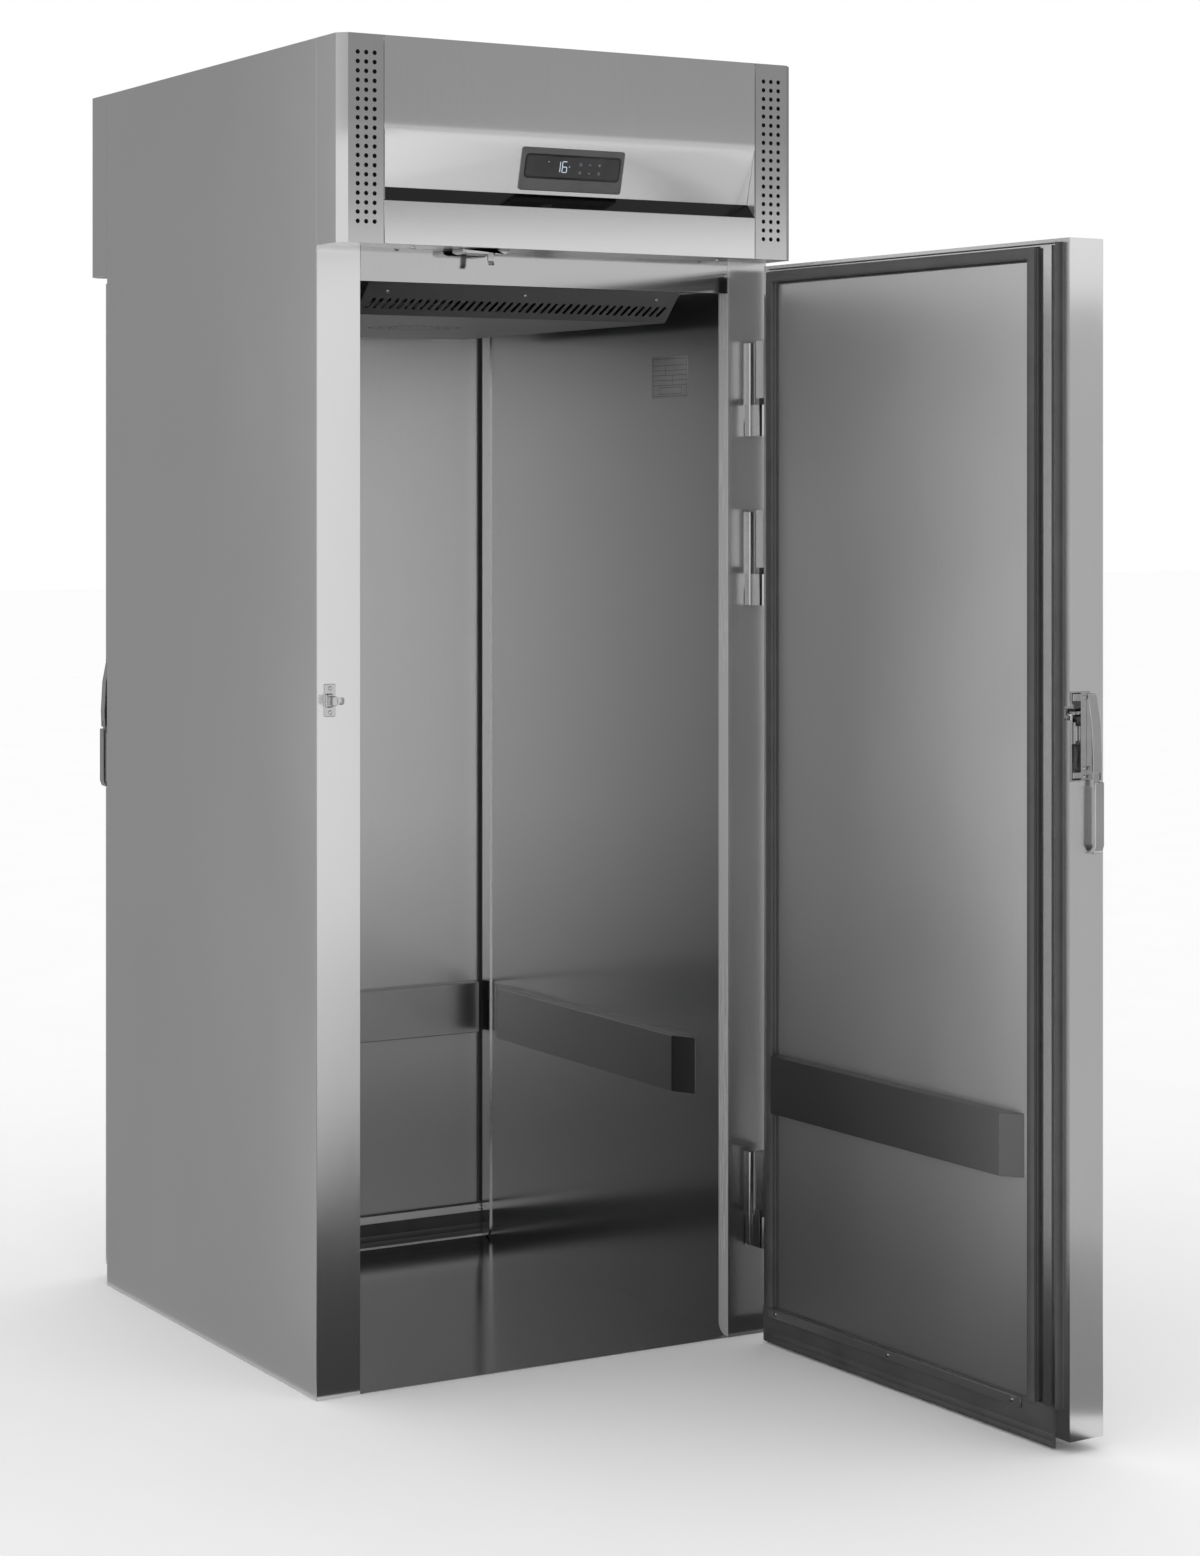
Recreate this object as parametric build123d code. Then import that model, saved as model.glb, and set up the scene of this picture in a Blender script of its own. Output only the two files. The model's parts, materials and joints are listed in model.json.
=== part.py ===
from build123d import *
import math
import os

# Roll-in pass-through refrigerator, in millimetres. X is the width, -Y the front and +Z up.
# The origin is the centre of the cabinet's footprint on the floor.
# Both doors are drawn closed at the front; the front one is then turned open on its hinges
# and the rear one is mirrored to the back.

# Cabinet
WIDTH = 880.0
DEPTH = 912.0
HEIGHT = 2235.0
CEILING = 1845.0
SKIN = 1.0
LINER = 1.0
WALL = 77.0
ROOF = 50.0
FRAME_SHEET = 1.2
STILE = 80.0
JAMB_DEPTH = 31.0
LINTEL_LIP = 6.0
FLOOR_SHEET = 2.0
SEAM = 0.9

# Header; its heights are counted from the header's underside
HEADER_PROUD = 88.0
BEVEL = 15.0
FASCIA_SHEET = 1.2
SLOPE_TOP = 189.5
SLOPE_FOOT = 95.0
SLOPE_IN = 24.5
RETURN_FOOT = 71.0
HOLE_R = 3.8
HOLE_PITCH = 15.25
HOLE_COLUMNS = 3
HOLE_ROWS = 19
HOLE_FROM_TOP = 30.6
HOLE_FROM_SEAM = 17.2

# Controller in the sloping part of the front fascia
BEZEL_W = 198.0
BEZEL_H = 73.0
BEZEL_T = 4.0
WINDOW_W = 185.0
WINDOW_H = 41.0
WINDOW_T = 3.0
WINDOW_UP = 5.0
CONTROLLER_BODY = (150.0, 31.0, 45.0)
CONTROLLER_UP = 137.0

# Inside the chamber
RAIL_Z = 411.0
RAIL_H = 100.0
RAIL_PROUD = 23.0
RAIL_SHEET = 1.5
RAIL_FROM_FRONT = 157.0
RAIL_FROM_BACK = 98.0
RAIL_RUN = 45.0
PLATE_FROM_FRONT = (138.0, 263.0)
PLATE_BELOW_CEILING = (110.0, 186.0)
PLATE_T = 0.5
DUCT_FROM_LEFT = 32.0
DUCT_FROM_RIGHT = 86.0
DUCT_FROM_FRONT = 20.0
DUCT_DROP = 57.0
DUCT_SHEET = 1.2
SLOT_PITCH = 14.6
SLOT_W = 6.5
SLOT_L = 25.0
SLOT_LEAN = 22.0
SLOT_TOP_GAP = 43.0
SCREW_EVERY = 18
SCREW_BELOW_EDGE = 27.0
INTAKE_RINGS = (45.0, 63.0, 81.0)
INTAKE_HOLE_R = 4.0

# Evaporator bay above the ceiling, centred over the duct cover
BAY_X = 240.0
BAY_Y = 130.0
BAY_UP = 190.0
HOOD_WALL = 35.0
COIL_X = 190.0
COIL_Y = 70.0
COIL_UP = (65.0, 165.0)
FAN_RING_T = 2.0
FAN_HOLE_R = 100.0
EVAP_BLADE_R = 95.0
MOTOR_R = 32.0
SHAFT_R = 4.0
SHAFT_GAP = 0.06

# Machine compartment on the roof; places are counted from the cabinet's sides and ends
COMPRESSOR_FROM = (190.0, 156.0)
COMPRESSOR_R = 78.0
COMPRESSOR_H = 184.0
CONDENSER_FROM_RIGHT = (420.0, 80.0)
CONDENSER_FROM_FRONT = (26.0, 84.0)
CONDENSER_H = 240.0
FIN_PITCH = 10.0
FIN_T = 0.8
TUBE_R = 5.0
COND_BLADE_R = 104.0
SHROUD_DEPTH = 40.0
BAFFLE_T = 1.2
BAFFLE_FROM_FRONT = 65.0
BAFFLE_FOOT = 18.0
BAFFLE_BELOW_TOP = 20.0
TRAY_FROM_LEFT = (50.0, 310.0)
TRAY_FROM_BACK = (241.0, 56.0)
TRAY_H = 34.0
CONTROL_FROM_RIGHT = (290.0, 40.0)
CONTROL_FROM_BACK = (241.0, 61.0)
CONTROL_H = 95.0
GLAND_R = 10.0
GLAND_BORE_R = 4.5
GLAND_H = 16.0
PIPE_R = 4.0

# Doors, drawn closed at the front
DOOR_T = 70.0
DOOR_SIDE_HINGE = 40.0
DOOR_SIDE_LOCK = 30.0
DOOR_GAP = 13.0
DOOR_BOTTOM = 20.0
DOOR_TOP_GAP = 10.0
DOOR_SHEET = 1.2
FLANGE_HINGE = 20.0
FLANGE_TOP = 10.0
FLANGE_LOCK = 69.0
FLANGE_BOTTOM = 17.0
GROOVE_W = 21.0
GROOVE_DEPTH = 7.0
GASKET_W = 20.4
GASKET_TIP_GAP = 0.4
FOLD_FROM_LOCK = (33.0, 52.0)
FOLD_PROUD = 8.7
LIP_FROM_LOCK = 18.5
LIP_T = 2.5
SWEEP_TOP = 68.0
SWEEP_LOW = 3.0
SWEEP_T = 5.0
CLAMP_Z = (50.0, 65.0)
CLAMP_T = 3.0
DOOR_RAIL_FROM_HINGE = (45.0, 54.0)
DOOR_RAIL_FROM_LOCK = (108.0, 139.0)
DOOR_RAIL_PROUD = 25.0
REST_ANGLE = 92.5

# Hinges: a frame half below, a door half above, on one pin
PIVOT_OUT = 20.0
PIVOT_IN = 21.0
HINGE_Z = (160.0, 1290.0, 1588.0)
HINGE_LOW_H = 55.0
BUSH_H = 11.0
HINGE_UP_H = 103.0
HINGE_PIN_R = 4.0
PIN_GAP = 0.06
KNUCKLE_R = 17.5
BUSH_R = 14.0

# Lock, strike and handle on the free edge of the door; depths run from the inner face
SLOT_Z = (1042.0, 1182.0)
SLOT_N = (3.0, 23.0)
CASE_WALL = 1.2
CASE_DEPTH = 26.0
FACE_N = (0.0, 40.0)
FACE_T = 1.2
STRIKE_OUT = 14.0
STRIKE_ARM = 10.0
NOSE_IN = 8.0
NOSE_Z = (1141.0, 1155.0)
NOSE_N = (9.0, 15.0)
BOLT_N = (3.8, 8.0)
BOLT_Z = (1100.0, 1149.0)
BOLT_IN = (2.0, 12.0)
BODY_N = (33.0, 51.0)
BODY_Z = (1044.0, 1178.0)
BODY_WALL = 2.4
GRIP_N = (37.5, 55.5)
GRIP_Z = (928.0, 1040.0)
GRIP_OUT = (9.5, 16.0)
GRIP_PIN_Z = 1056.0
GRIP_PIN_OUT = 9.0
GRIP_PIN_R = 2.5

# Door switch under the header
SWITCH_FROM_LEFT = (243.0, 334.0)
SWITCH_FROM_FRAME = (56.0, 16.0)
SWITCH_H = 8.4
LEVER_FROM_LEFT = (293.0, 303.0)
LEVER_PIVOT_FROM_FRAME = 49.0
LEVER_PIVOT_DROP = 3.6
LEVER_REACH = 24.0
LEVER_EYE_R = 2.9
LEVER_FOLD = 86.0

# Places worked out from the sizes above
HALF_W = WIDTH / 2
HALF_D = DEPTH / 2
FRONT = -HALF_D
LINER_X = HALF_W - WALL
OPEN_X = HALF_W - STILE
CLEAR_HEIGHT = CEILING - LINTEL_LIP
HEADER_Z = CEILING + ROOF
DECK_Z = HEADER_Z + SKIN
FASCIA_Y = FRONT - HEADER_PROUD
SLOPE_TOP_Z = HEADER_Z + SLOPE_TOP
SLOPE_FOOT_Z = HEADER_Z + SLOPE_FOOT
RETURN_Z = HEADER_Z + RETURN_FOOT
DUCT_X = (-LINER_X + DUCT_FROM_LEFT, LINER_X - DUCT_FROM_RIGHT)
DUCT_TOP_Y = HALF_D - DUCT_FROM_FRONT
BAY_AT = sum(DUCT_X) / 2
BAY_TOP = HEADER_Z + BAY_UP
COIL_Z = (HEADER_Z + COIL_UP[0], HEADER_Z + COIL_UP[1])
COMPRESSOR_AT = (-HALF_W + COMPRESSOR_FROM[0], FRONT + COMPRESSOR_FROM[1])
COMPRESSOR_TOP = DECK_Z + COMPRESSOR_H
CONDENSER_X = (HALF_W - CONDENSER_FROM_RIGHT[0], HALF_W - CONDENSER_FROM_RIGHT[1])
CONDENSER_Y = (FRONT + CONDENSER_FROM_FRONT[0], FRONT + CONDENSER_FROM_FRONT[1])
CONDENSER_Z = (DECK_Z, DECK_Z + CONDENSER_H)
COND_FAN_Z = DECK_Z + CONDENSER_H / 2
TRAY_X = (-HALF_W + TRAY_FROM_LEFT[0], -HALF_W + TRAY_FROM_LEFT[1])
TRAY_Y = (HALF_D - TRAY_FROM_BACK[0], HALF_D - TRAY_FROM_BACK[1])
CONTROL_X = (HALF_W - CONTROL_FROM_RIGHT[0], HALF_W - CONTROL_FROM_RIGHT[1])
CONTROL_Y = (HALF_D - CONTROL_FROM_BACK[0], HALF_D - CONTROL_FROM_BACK[1])
DOOR_HINGE_X = HALF_W - DOOR_SIDE_HINGE
LOCK_X = -HALF_W + DOOR_SIDE_LOCK
DOOR_TOP = HEADER_Z - DOOR_TOP_GAP
INNER_Y = FRONT - DOOR_GAP
OUTER_Y = INNER_Y - DOOR_T
PIVOT_X = DOOR_HINGE_X + PIVOT_OUT
PIVOT_Y = INNER_Y - PIVOT_IN
FACE_X = LOCK_X - FACE_T
SWITCH_X = (-HALF_W + SWITCH_FROM_LEFT[0], -HALF_W + SWITCH_FROM_LEFT[1])
SWITCH_Y = (FRONT - SWITCH_FROM_FRAME[0], FRONT - SWITCH_FROM_FRAME[1])
LEVER_X = (-HALF_W + LEVER_FROM_LEFT[0], -HALF_W + LEVER_FROM_LEFT[1])
LEVER_PIVOT_Y = FRONT - LEVER_PIVOT_FROM_FRAME


def box(x, y, z):
    """Block between two values on each axis."""
    x0, x1 = sorted(x)
    y0, y1 = sorted(y)
    z0, z1 = sorted(z)
    middle = Pos((x0 + x1) / 2, (y0 + y1) / 2, (z0 + z1) / 2)
    return middle * Box(x1 - x0, y1 - y0, z1 - z0)


def post(x, y, z, radius):
    """Upright round bar."""
    return Pos(x, y, (z[0] + z[1]) / 2) * Cylinder(radius, abs(z[1] - z[0]))


def bar_x(x, y, z, radius):
    """Round bar along X."""
    return Pos((x[0] + x[1]) / 2, y, z) * Rot(0, 90, 0) * Cylinder(radius, abs(x[1] - x[0]))


def bar_y(x, y, z, radius):
    """Round bar along Y."""
    return Pos(x, (y[0] + y[1]) / 2, z) * Rot(90, 0, 0) * Cylinder(radius, abs(y[1] - y[0]))


def plan_block(points, z):
    """Outline in plan, raised between two heights."""
    face = make_face(Polyline(*points, close=True))
    return Pos(0, 0, z[0]) * extrude(face, z[1] - z[0])


def side_block(points, x):
    """Outline of (y, z) points, run between two X values."""
    face = make_face(Polyline(*[(0, y, z) for y, z in points], close=True))
    return Pos(x[0], 0, 0) * extrude(face, x[1] - x[0], dir=(1, 0, 0))


def front_block(points, y):
    """Outline of (x, z) points, run between two Y values."""
    face = make_face(Polyline(*[(px, 0, pz) for px, pz in points], close=True))
    return Pos(0, y[0], 0) * extrude(face, y[1] - y[0], dir=(0, 1, 0))


def to_back(shape):
    """Copy of a front piece at the rear."""
    return mirror(shape, about=Plane.XZ)


def to_right(shape):
    """Copy of a left piece on the right."""
    return mirror(shape, about=Plane.YZ)


def over_bay(shape):
    """Shape drawn about the Z axis, moved over the middle of the duct cover."""
    return Pos(BAY_AT, 0, 0) * shape


def join(pieces):
    """One body from overlapping or touching pieces."""
    whole = pieces[0]
    for piece in pieces[1:]:
        whole = whole + piece
    return whole


def group(pieces):
    """Several separate solids in one node."""
    solids = []
    for piece in pieces:
        solids.extend(piece.solids())
    return Compound(children=solids)


def save(shape, node):
    """Write one node."""
    export_step(shape, "parts/" + node + ".step")


def dome_screw(x, y, z, axis, radius=4.0, height=2.2):
    """Cross-slotted pan head that stands on the point."""
    head = Pos(0, 0, height / 2) * Cylinder(radius, height)
    head = fillet(head.edges().group_by(Axis.Z)[-1], height * 0.7)
    head = head - Pos(0, 0, height) * Box(radius * 1.1, 0.8, 1.4)
    head = head - Pos(0, 0, height) * Box(0.8, radius * 1.1, 1.4)
    return Plane(origin=(x, y, z), z_dir=axis) * head


# Cabinet shell

def left_side_panel():
    sheet = box((-HALF_W, -HALF_W + SKIN), (-HALF_D, HALF_D), (0, HEIGHT))
    hem = box((-HALF_W, -HALF_W + 15), (-HALF_D, HALF_D), (HEIGHT - SKIN, HEIGHT))
    return sheet + hem


def insulation():
    outer_x = HALF_W - SKIN
    inner_x = LINER_X + LINER
    reach = HALF_D - FRAME_SHEET
    left = box((-outer_x, -inner_x), (-reach, reach), (0, HEADER_Z))
    right = box((inner_x, outer_x), (-reach, reach), (0, HEADER_Z))
    top = box((-outer_x, outer_x), (-reach, reach), (CEILING + LINER, HEADER_Z))
    hood_x = BAY_X + HOOD_WALL
    hood_y = BAY_Y + HOOD_WALL
    hood = box((-hood_x, hood_x), (-hood_y, hood_y), (HEADER_Z, BAY_TOP + HOOD_WALL))
    bay = box((-BAY_X, BAY_X), (-BAY_Y, BAY_Y), (CEILING, BAY_TOP))
    return join([left, top, right, over_bay(hood)]) - over_bay(bay)


def wall_liners():
    reach = HALF_D - FRAME_SHEET
    left = box((-LINER_X - LINER, -LINER_X), (-reach, reach), (0, CEILING + LINER))
    return group([left, to_right(left)])


def ceiling_liner():
    reach = HALF_D - FRAME_SHEET
    sheet = box((-LINER_X, LINER_X), (-reach, reach), (CEILING, CEILING + LINER))
    return sheet - over_bay(box((-BAY_X, BAY_X), (-BAY_Y, BAY_Y), (CEILING - 1, CEILING + 5)))


def floor_plate():
    reach = HALF_D - FRAME_SHEET
    return box((-LINER_X, LINER_X), (-reach, reach), (0, FLOOR_SHEET))


def left_stile():
    face = box((-HALF_W + SKIN + 0.2, -OPEN_X), (FRONT, FRONT + FRAME_SHEET), (0, HEADER_Z))
    jamb = box((-LINER_X, -OPEN_X), (FRONT + FRAME_SHEET, FRONT + JAMB_DEPTH), (FLOOR_SHEET, CLEAR_HEIGHT))
    corner = jamb.edges().filter_by(Axis.X).sort_by(Axis.Z)[:2].sort_by(Axis.Y)[-1:]
    jamb = fillet(corner, JAMB_DEPTH * 0.75)
    return face + jamb


def lintel():
    face = box((-OPEN_X + 0.1, OPEN_X - 0.1), (FRONT, FRONT + FRAME_SHEET), (CLEAR_HEIGHT, HEADER_Z))
    under = box((-OPEN_X + 0.1, OPEN_X - 0.1), (FRONT, -DUCT_TOP_Y - 1), (CLEAR_HEIGHT, CEILING))
    return face + under


def front_frame():
    return group([left_stile(), to_right(left_stile()), lintel()])


def left_rail():
    face_x = -LINER_X + RAIL_PROUD
    near = FRONT + RAIL_FROM_FRONT
    far = HALF_D - RAIL_FROM_BACK
    outer = [(-LINER_X, near - RAIL_RUN), (face_x, near), (face_x, far), (-LINER_X, far + RAIL_RUN)]
    slope = RAIL_SHEET * 2.2
    inner = [(-LINER_X - 1, near - RAIL_RUN + slope), (face_x - RAIL_SHEET, near + RAIL_SHEET / 2),
             (face_x - RAIL_SHEET, far - RAIL_SHEET / 2), (-LINER_X - 1, far + RAIL_RUN - slope)]
    z = (RAIL_Z, RAIL_Z + RAIL_H)
    hollow = (RAIL_Z + RAIL_SHEET, RAIL_Z + RAIL_H - RAIL_SHEET)
    return plan_block(outer, z) - plan_block(inner, hollow)


def data_plate():
    y = (FRONT + PLATE_FROM_FRONT[0], FRONT + PLATE_FROM_FRONT[1])
    z = (CEILING - PLATE_BELOW_CEILING[0], CEILING - PLATE_BELOW_CEILING[1])
    return box((LINER_X - PLATE_T, LINER_X), y, z)


def duct_cover():
    """Tray under the ceiling with leaning slots in its sloping front and rear faces."""
    low = CEILING - DUCT_DROP
    foot = DUCT_TOP_Y - DUCT_DROP
    t = DUCT_SHEET
    outer = [(-DUCT_TOP_Y, CEILING), (-foot, low), (foot, low), (DUCT_TOP_Y, CEILING)]
    inner = [(-DUCT_TOP_Y + t * 1.5, CEILING + 1), (-foot + t * 0.4, low + t), (foot - t * 0.4, low + t),
             (DUCT_TOP_Y - t * 1.5, CEILING + 1)]
    tray = side_block(outer, DUCT_X) - side_block(inner, (DUCT_X[0] + t, DUCT_X[1] - t))
    top_edge = Plane(origin=(BAY_AT, -DUCT_TOP_Y, CEILING), x_dir=(1, 0, 0), z_dir=(0, -1, -1))
    count = int((DUCT_X[1] - DUCT_X[0] - 10) / SLOT_PITCH)
    rise = SLOT_L * math.cos(math.radians(SLOT_LEAN))
    row = Pos(0, -SLOT_TOP_GAP - rise / 2) * GridLocations(SLOT_PITCH, 1, count, 1)
    slots = Sketch() + row * SlotOverall(SLOT_L, SLOT_W, rotation=90 - SLOT_LEAN)
    cutter = extrude(top_edge * slots, 5, both=True)
    tray = tray - cutter - to_back(cutter)
    for ring in INTAKE_RINGS:
        turns = int(2 * math.pi * ring / (INTAKE_HOLE_R * 3.4))
        holes = Sketch() + PolarLocations(ring, turns) * Circle(INTAKE_HOLE_R)
        tray = tray - extrude(Pos(BAY_AT, 0, low - 1) * holes, 4)
    return tray


# Header

def fascia_profile(t):
    """Closed (y, z) outline of the bent front sheet, t thick."""
    flat = FASCIA_Y
    inner = FASCIA_Y + SLOPE_IN
    front = [(flat, HEADER_Z + 0.2), (flat, RETURN_Z), (inner, SLOPE_FOOT_Z), (flat, SLOPE_TOP_Z),
             (flat, HEIGHT)]
    back = [(flat + t, HEIGHT), (flat + t, SLOPE_TOP_Z + t * 0.1), (inner + t * 1.1, SLOPE_FOOT_Z + t * 0.3),
            (flat + t, RETURN_Z - t * 0.4), (flat + t, HEADER_Z + 0.2)]
    return front + back


def header_fascia(with_controller):
    half = OPEN_X - SEAM / 2
    sheet = side_block(fascia_profile(FASCIA_SHEET), (-half, half))
    hem = box((-half, half), (FASCIA_Y, FASCIA_Y + 18), (HEIGHT - FASCIA_SHEET, HEIGHT))
    sheet = sheet + hem
    if with_controller:
        w, h, d = CONTROLLER_BODY
        hole = Pos(0, WINDOW_UP, -d / 2 + 5) * Box(w + 1, h + 1, d + 20)
        sheet = sheet - slope_plane() * hole
    return sheet


def slope_plane():
    """Plane of the sloping face at the controller, its Z axis pointing out of the sheet."""
    drop = (SLOPE_TOP - CONTROLLER_UP) / (SLOPE_TOP - SLOPE_FOOT)
    y = FASCIA_Y + SLOPE_IN * drop
    return Plane(origin=(0, y, HEADER_Z + CONTROLLER_UP), x_dir=(1, 0, 0),
                 z_dir=(0, SLOPE_FOOT - SLOPE_TOP, -SLOPE_IN))


def controller_bezel():
    frame = Pos(0, 0, BEZEL_T / 2) * Box(BEZEL_W, BEZEL_H, BEZEL_T)
    frame = chamfer(frame.edges().group_by(Axis.Z)[-1], 1.6)
    frame = frame - Pos(0, WINDOW_UP, BEZEL_T / 2) * Box(WINDOW_W + 0.6, WINDOW_H + 0.6, BEZEL_T * 2)
    return slope_plane() * frame


def controller():
    w, h, d = CONTROLLER_BODY
    front = Pos(0, WINDOW_UP, WINDOW_T / 2) * Box(WINDOW_W, WINDOW_H, WINDOW_T)
    body = Pos(0, WINDOW_UP, -d / 2) * Box(w, h, d)
    return slope_plane() * (front + body)


def vent_strip():
    """Perforated end piece of the header: face, bevel and side return, at the front left."""
    t = FASCIA_SHEET
    inner_x = -OPEN_X - SEAM / 2
    bevel_x = -HALF_W + BEVEL
    bevel_y = FASCIA_Y + BEVEL
    lip_y = FASCIA_Y + 30
    outside = [(inner_x, FASCIA_Y), (bevel_x, FASCIA_Y), (-HALF_W, bevel_y), (-HALF_W, FRONT - 0.2)]
    inside = [(-HALF_W + t, FRONT - 0.2), (-HALF_W + t, bevel_y + t * 0.4),
              (bevel_x + t * 0.4, FASCIA_Y + t), (inner_x - t, FASCIA_Y + t)]
    lip = [(inner_x - t, lip_y), (inner_x, lip_y)]
    outline = outside + inside + lip
    strip = plan_block(outline, (HEADER_Z, HEIGHT))
    underplate_room = (HEADER_Z - 1, HEADER_Z + t + 0.3)
    strip = strip - box((inner_x - 2 * t, inner_x + 1), (FASCIA_Y + t, FRONT), underplate_room)
    holes = []
    for column in range(HOLE_COLUMNS):
        for row in range(HOLE_ROWS):
            x = -OPEN_X - HOLE_FROM_SEAM - column * HOLE_PITCH
            z = HEIGHT - HOLE_FROM_TOP - row * HOLE_PITCH
            holes.append(bar_y(x, (FASCIA_Y - 2, FASCIA_Y + 4), z, HOLE_R))
    return strip - holes


def header_vent_strips():
    one = vent_strip()
    pair = [one, to_right(one)]
    return group(pair + [to_back(piece) for piece in pair])


def header_underplates():
    t = FASCIA_SHEET
    half = HALF_W - t - 0.2
    corner = BEVEL - 0.6
    front_y = FASCIA_Y + t + 0.2
    outline = [(-half, FRONT - 0.2), (-half, front_y + corner), (-half + corner, front_y),
               (half - corner, front_y), (half, front_y + corner), (half, FRONT - 0.2)]
    plate = plan_block(outline, (HEADER_Z, HEADER_Z + t))
    return group([plate, to_back(plate)])


def machine_deck():
    """Sheet over the roof insulation, pressed up over the evaporator hood."""
    outer_x = HALF_W - SKIN
    hood_x = BAY_X + HOOD_WALL
    hood_y = BAY_Y + HOOD_WALL
    hood_top = BAY_TOP + HOOD_WALL
    flat = box((-outer_x, outer_x), (-HALF_D, HALF_D), (HEADER_Z, DECK_Z))
    hat = box((-hood_x - SKIN, hood_x + SKIN), (-hood_y - SKIN, hood_y + SKIN), (HEADER_Z, hood_top + SKIN))
    room = box((-hood_x, hood_x), (-hood_y, hood_y), (HEADER_Z - 1, hood_top))
    return flat + over_bay(hat) - over_bay(room)


# Refrigeration

def finned_block(x, y, z, pitch):
    """Fins across X on rows of tubes, between two end plates."""
    pieces = []
    count = int((x[1] - x[0] - 6) / pitch)
    step = (x[1] - x[0] - 4) / count
    for index in range(count + 1):
        at = x[0] + 2 + index * step
        pieces.append(box((at - FIN_T / 2, at + FIN_T / 2), y, z))
    rows = int((z[1] - z[0] - 20) / 28)
    for row in range(rows):
        height = z[0] + 20 + row * 28
        for share in (0.28, 0.72):
            depth = y[0] + (y[1] - y[0]) * share
            pieces.append(bar_x(x, depth, height, TUBE_R))
    return pieces


def condenser_coil():
    x, y, z = CONDENSER_X, CONDENSER_Y, CONDENSER_Z
    ends = [box((x[0], x[0] + 2), y, z), box((x[1] - 2, x[1]), y, z)]
    return join(ends + finned_block(x, y, (z[0] + 6, z[1]), FIN_PITCH))


def evaporator_coil():
    x = (-COIL_X, COIL_X)
    y = (-COIL_Y, COIL_Y)
    ends = []
    for end in (-COIL_X, COIL_X - 2):
        ends.append(box((end, end + 2), y, (COIL_Z[0], BAY_TOP)))
    return over_bay(join(ends + finned_block(x, y, COIL_Z, FIN_PITCH)))


def compressor():
    x, y = COMPRESSOR_AT
    foot_h = 12.0
    plate = box((x - 95, x + 95), (y - 80, y + 80), (DECK_Z + foot_h, DECK_Z + foot_h + 3))
    feet = []
    for side in (-1, 1):
        for end in (-1, 1):
            feet.append(post(x + side * 80, y + end * 65, (DECK_Z, DECK_Z + foot_h), 11))
    shell = post(x, y, (DECK_Z + foot_h + 3, COMPRESSOR_TOP), COMPRESSOR_R)
    shell = fillet(shell.edges().group_by(Axis.Z)[-1], COMPRESSOR_R * 0.55)
    weld = post(x, y, (DECK_Z + 95, DECK_Z + 100), COMPRESSOR_R + 2.5)
    side_x = x - COMPRESSOR_R
    terminals = box((side_x - 26, side_x + 20), (y - 28, y + 28), (DECK_Z + 50, DECK_Z + 110))
    stubs = [bar_x((x + COMPRESSOR_R - 15, x + COMPRESSOR_R + 12), y - 30, DECK_Z + 60, PIPE_R + 1.5),
             bar_x((x + COMPRESSOR_R - 15, x + COMPRESSOR_R + 12), y + 40, DECK_Z + 120, PIPE_R + 1.5)]
    return join([plate, shell, weld, terminals] + feet + stubs)


def fan_blades(radius, height, count, hub_r):
    """Axial fan about Z, its hub bored for the shaft."""
    hub = Cylinder(hub_r, height)
    pieces = [hub]
    span = radius - hub_r + 4
    for index in range(count):
        blade = Pos(hub_r - 4 + span / 2, 0, 0) * Rot(28, 0, 0) * Box(span, radius * 0.62, 1.6)
        pieces.append(Rot(0, 0, 360 / count * index) * blade)
    disc = Cylinder(radius, height * 3)
    return (join(pieces) & disc) - Cylinder(SHAFT_R + SHAFT_GAP, height * 4)


def evaporator_fan_motor():
    """Ring plate under the bay, with the motor on three arms above the blades."""
    ring = box((-BAY_X - 12, BAY_X + 12), (-BAY_Y - 12, BAY_Y + 12), (CEILING - FAN_RING_T, CEILING))
    ring = ring - post(0, 0, (CEILING - 5, CEILING + 5), FAN_HOLE_R)
    motor = post(0, 0, (CEILING + 55, CEILING + 105), MOTOR_R)
    shaft = post(0, 0, (CEILING - 8, CEILING + 60), SHAFT_R)
    arms = []
    for turn in (90, 210, 330):
        leg = box((FAN_HOLE_R + 4, FAN_HOLE_R + 10), (-4, 4), (CEILING - FAN_RING_T, CEILING + 62))
        arm = box((MOTOR_R - 3, FAN_HOLE_R + 10), (-4, 4), (CEILING + 56, CEILING + 62))
        arms.append(Rot(0, 0, turn) * (leg + arm))
    return over_bay(join([ring, motor, shaft] + arms))


def evaporator_fan_blade():
    return Pos(BAY_AT, 0, CEILING + 18) * fan_blades(EVAP_BLADE_R, 24, 5, 24)


def condenser_fan_shroud():
    """Sheet box on the back of the condenser with a round opening, and the motor on four arms."""
    x, y = CONDENSER_X, CONDENSER_Y
    middle = (x[0] + x[1]) / 2
    back = y[1] + SHROUD_DEPTH
    outer = box(x, (y[1], back), (DECK_Z, CONDENSER_Z[1]))
    room = box((x[0] + 1.5, x[1] - 1.5), (y[1] - 1, back - 1.5), (DECK_Z + 1.5, CONDENSER_Z[1] - 1.5))
    opening = bar_y(middle, (back - 5, back + 5), COND_FAN_Z, COND_BLADE_R + 5)
    motor = bar_y(middle, (back + 22, back + 78), COND_FAN_Z, MOTOR_R)
    shaft = bar_y(middle, (back - 22, back + 30), COND_FAN_Z, SHAFT_R)
    arms = []
    for turn in (45, 135, 225, 315):
        leg = box((COND_BLADE_R + 8, COND_BLADE_R + 14), (-3, 3), (-1.5, 32))
        arm = box((MOTOR_R - 3, COND_BLADE_R + 14), (-3, 3), (26, 32))
        arms.append(Rot(0, 0, turn) * (leg + arm))
    seat = Plane(origin=(middle, back, COND_FAN_Z), x_dir=(1, 0, 0), z_dir=(0, 1, 0))
    shroud = join([outer - room - opening, motor, shaft] + [seat * arm for arm in arms])
    return group([shroud, air_baffle()])


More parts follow.
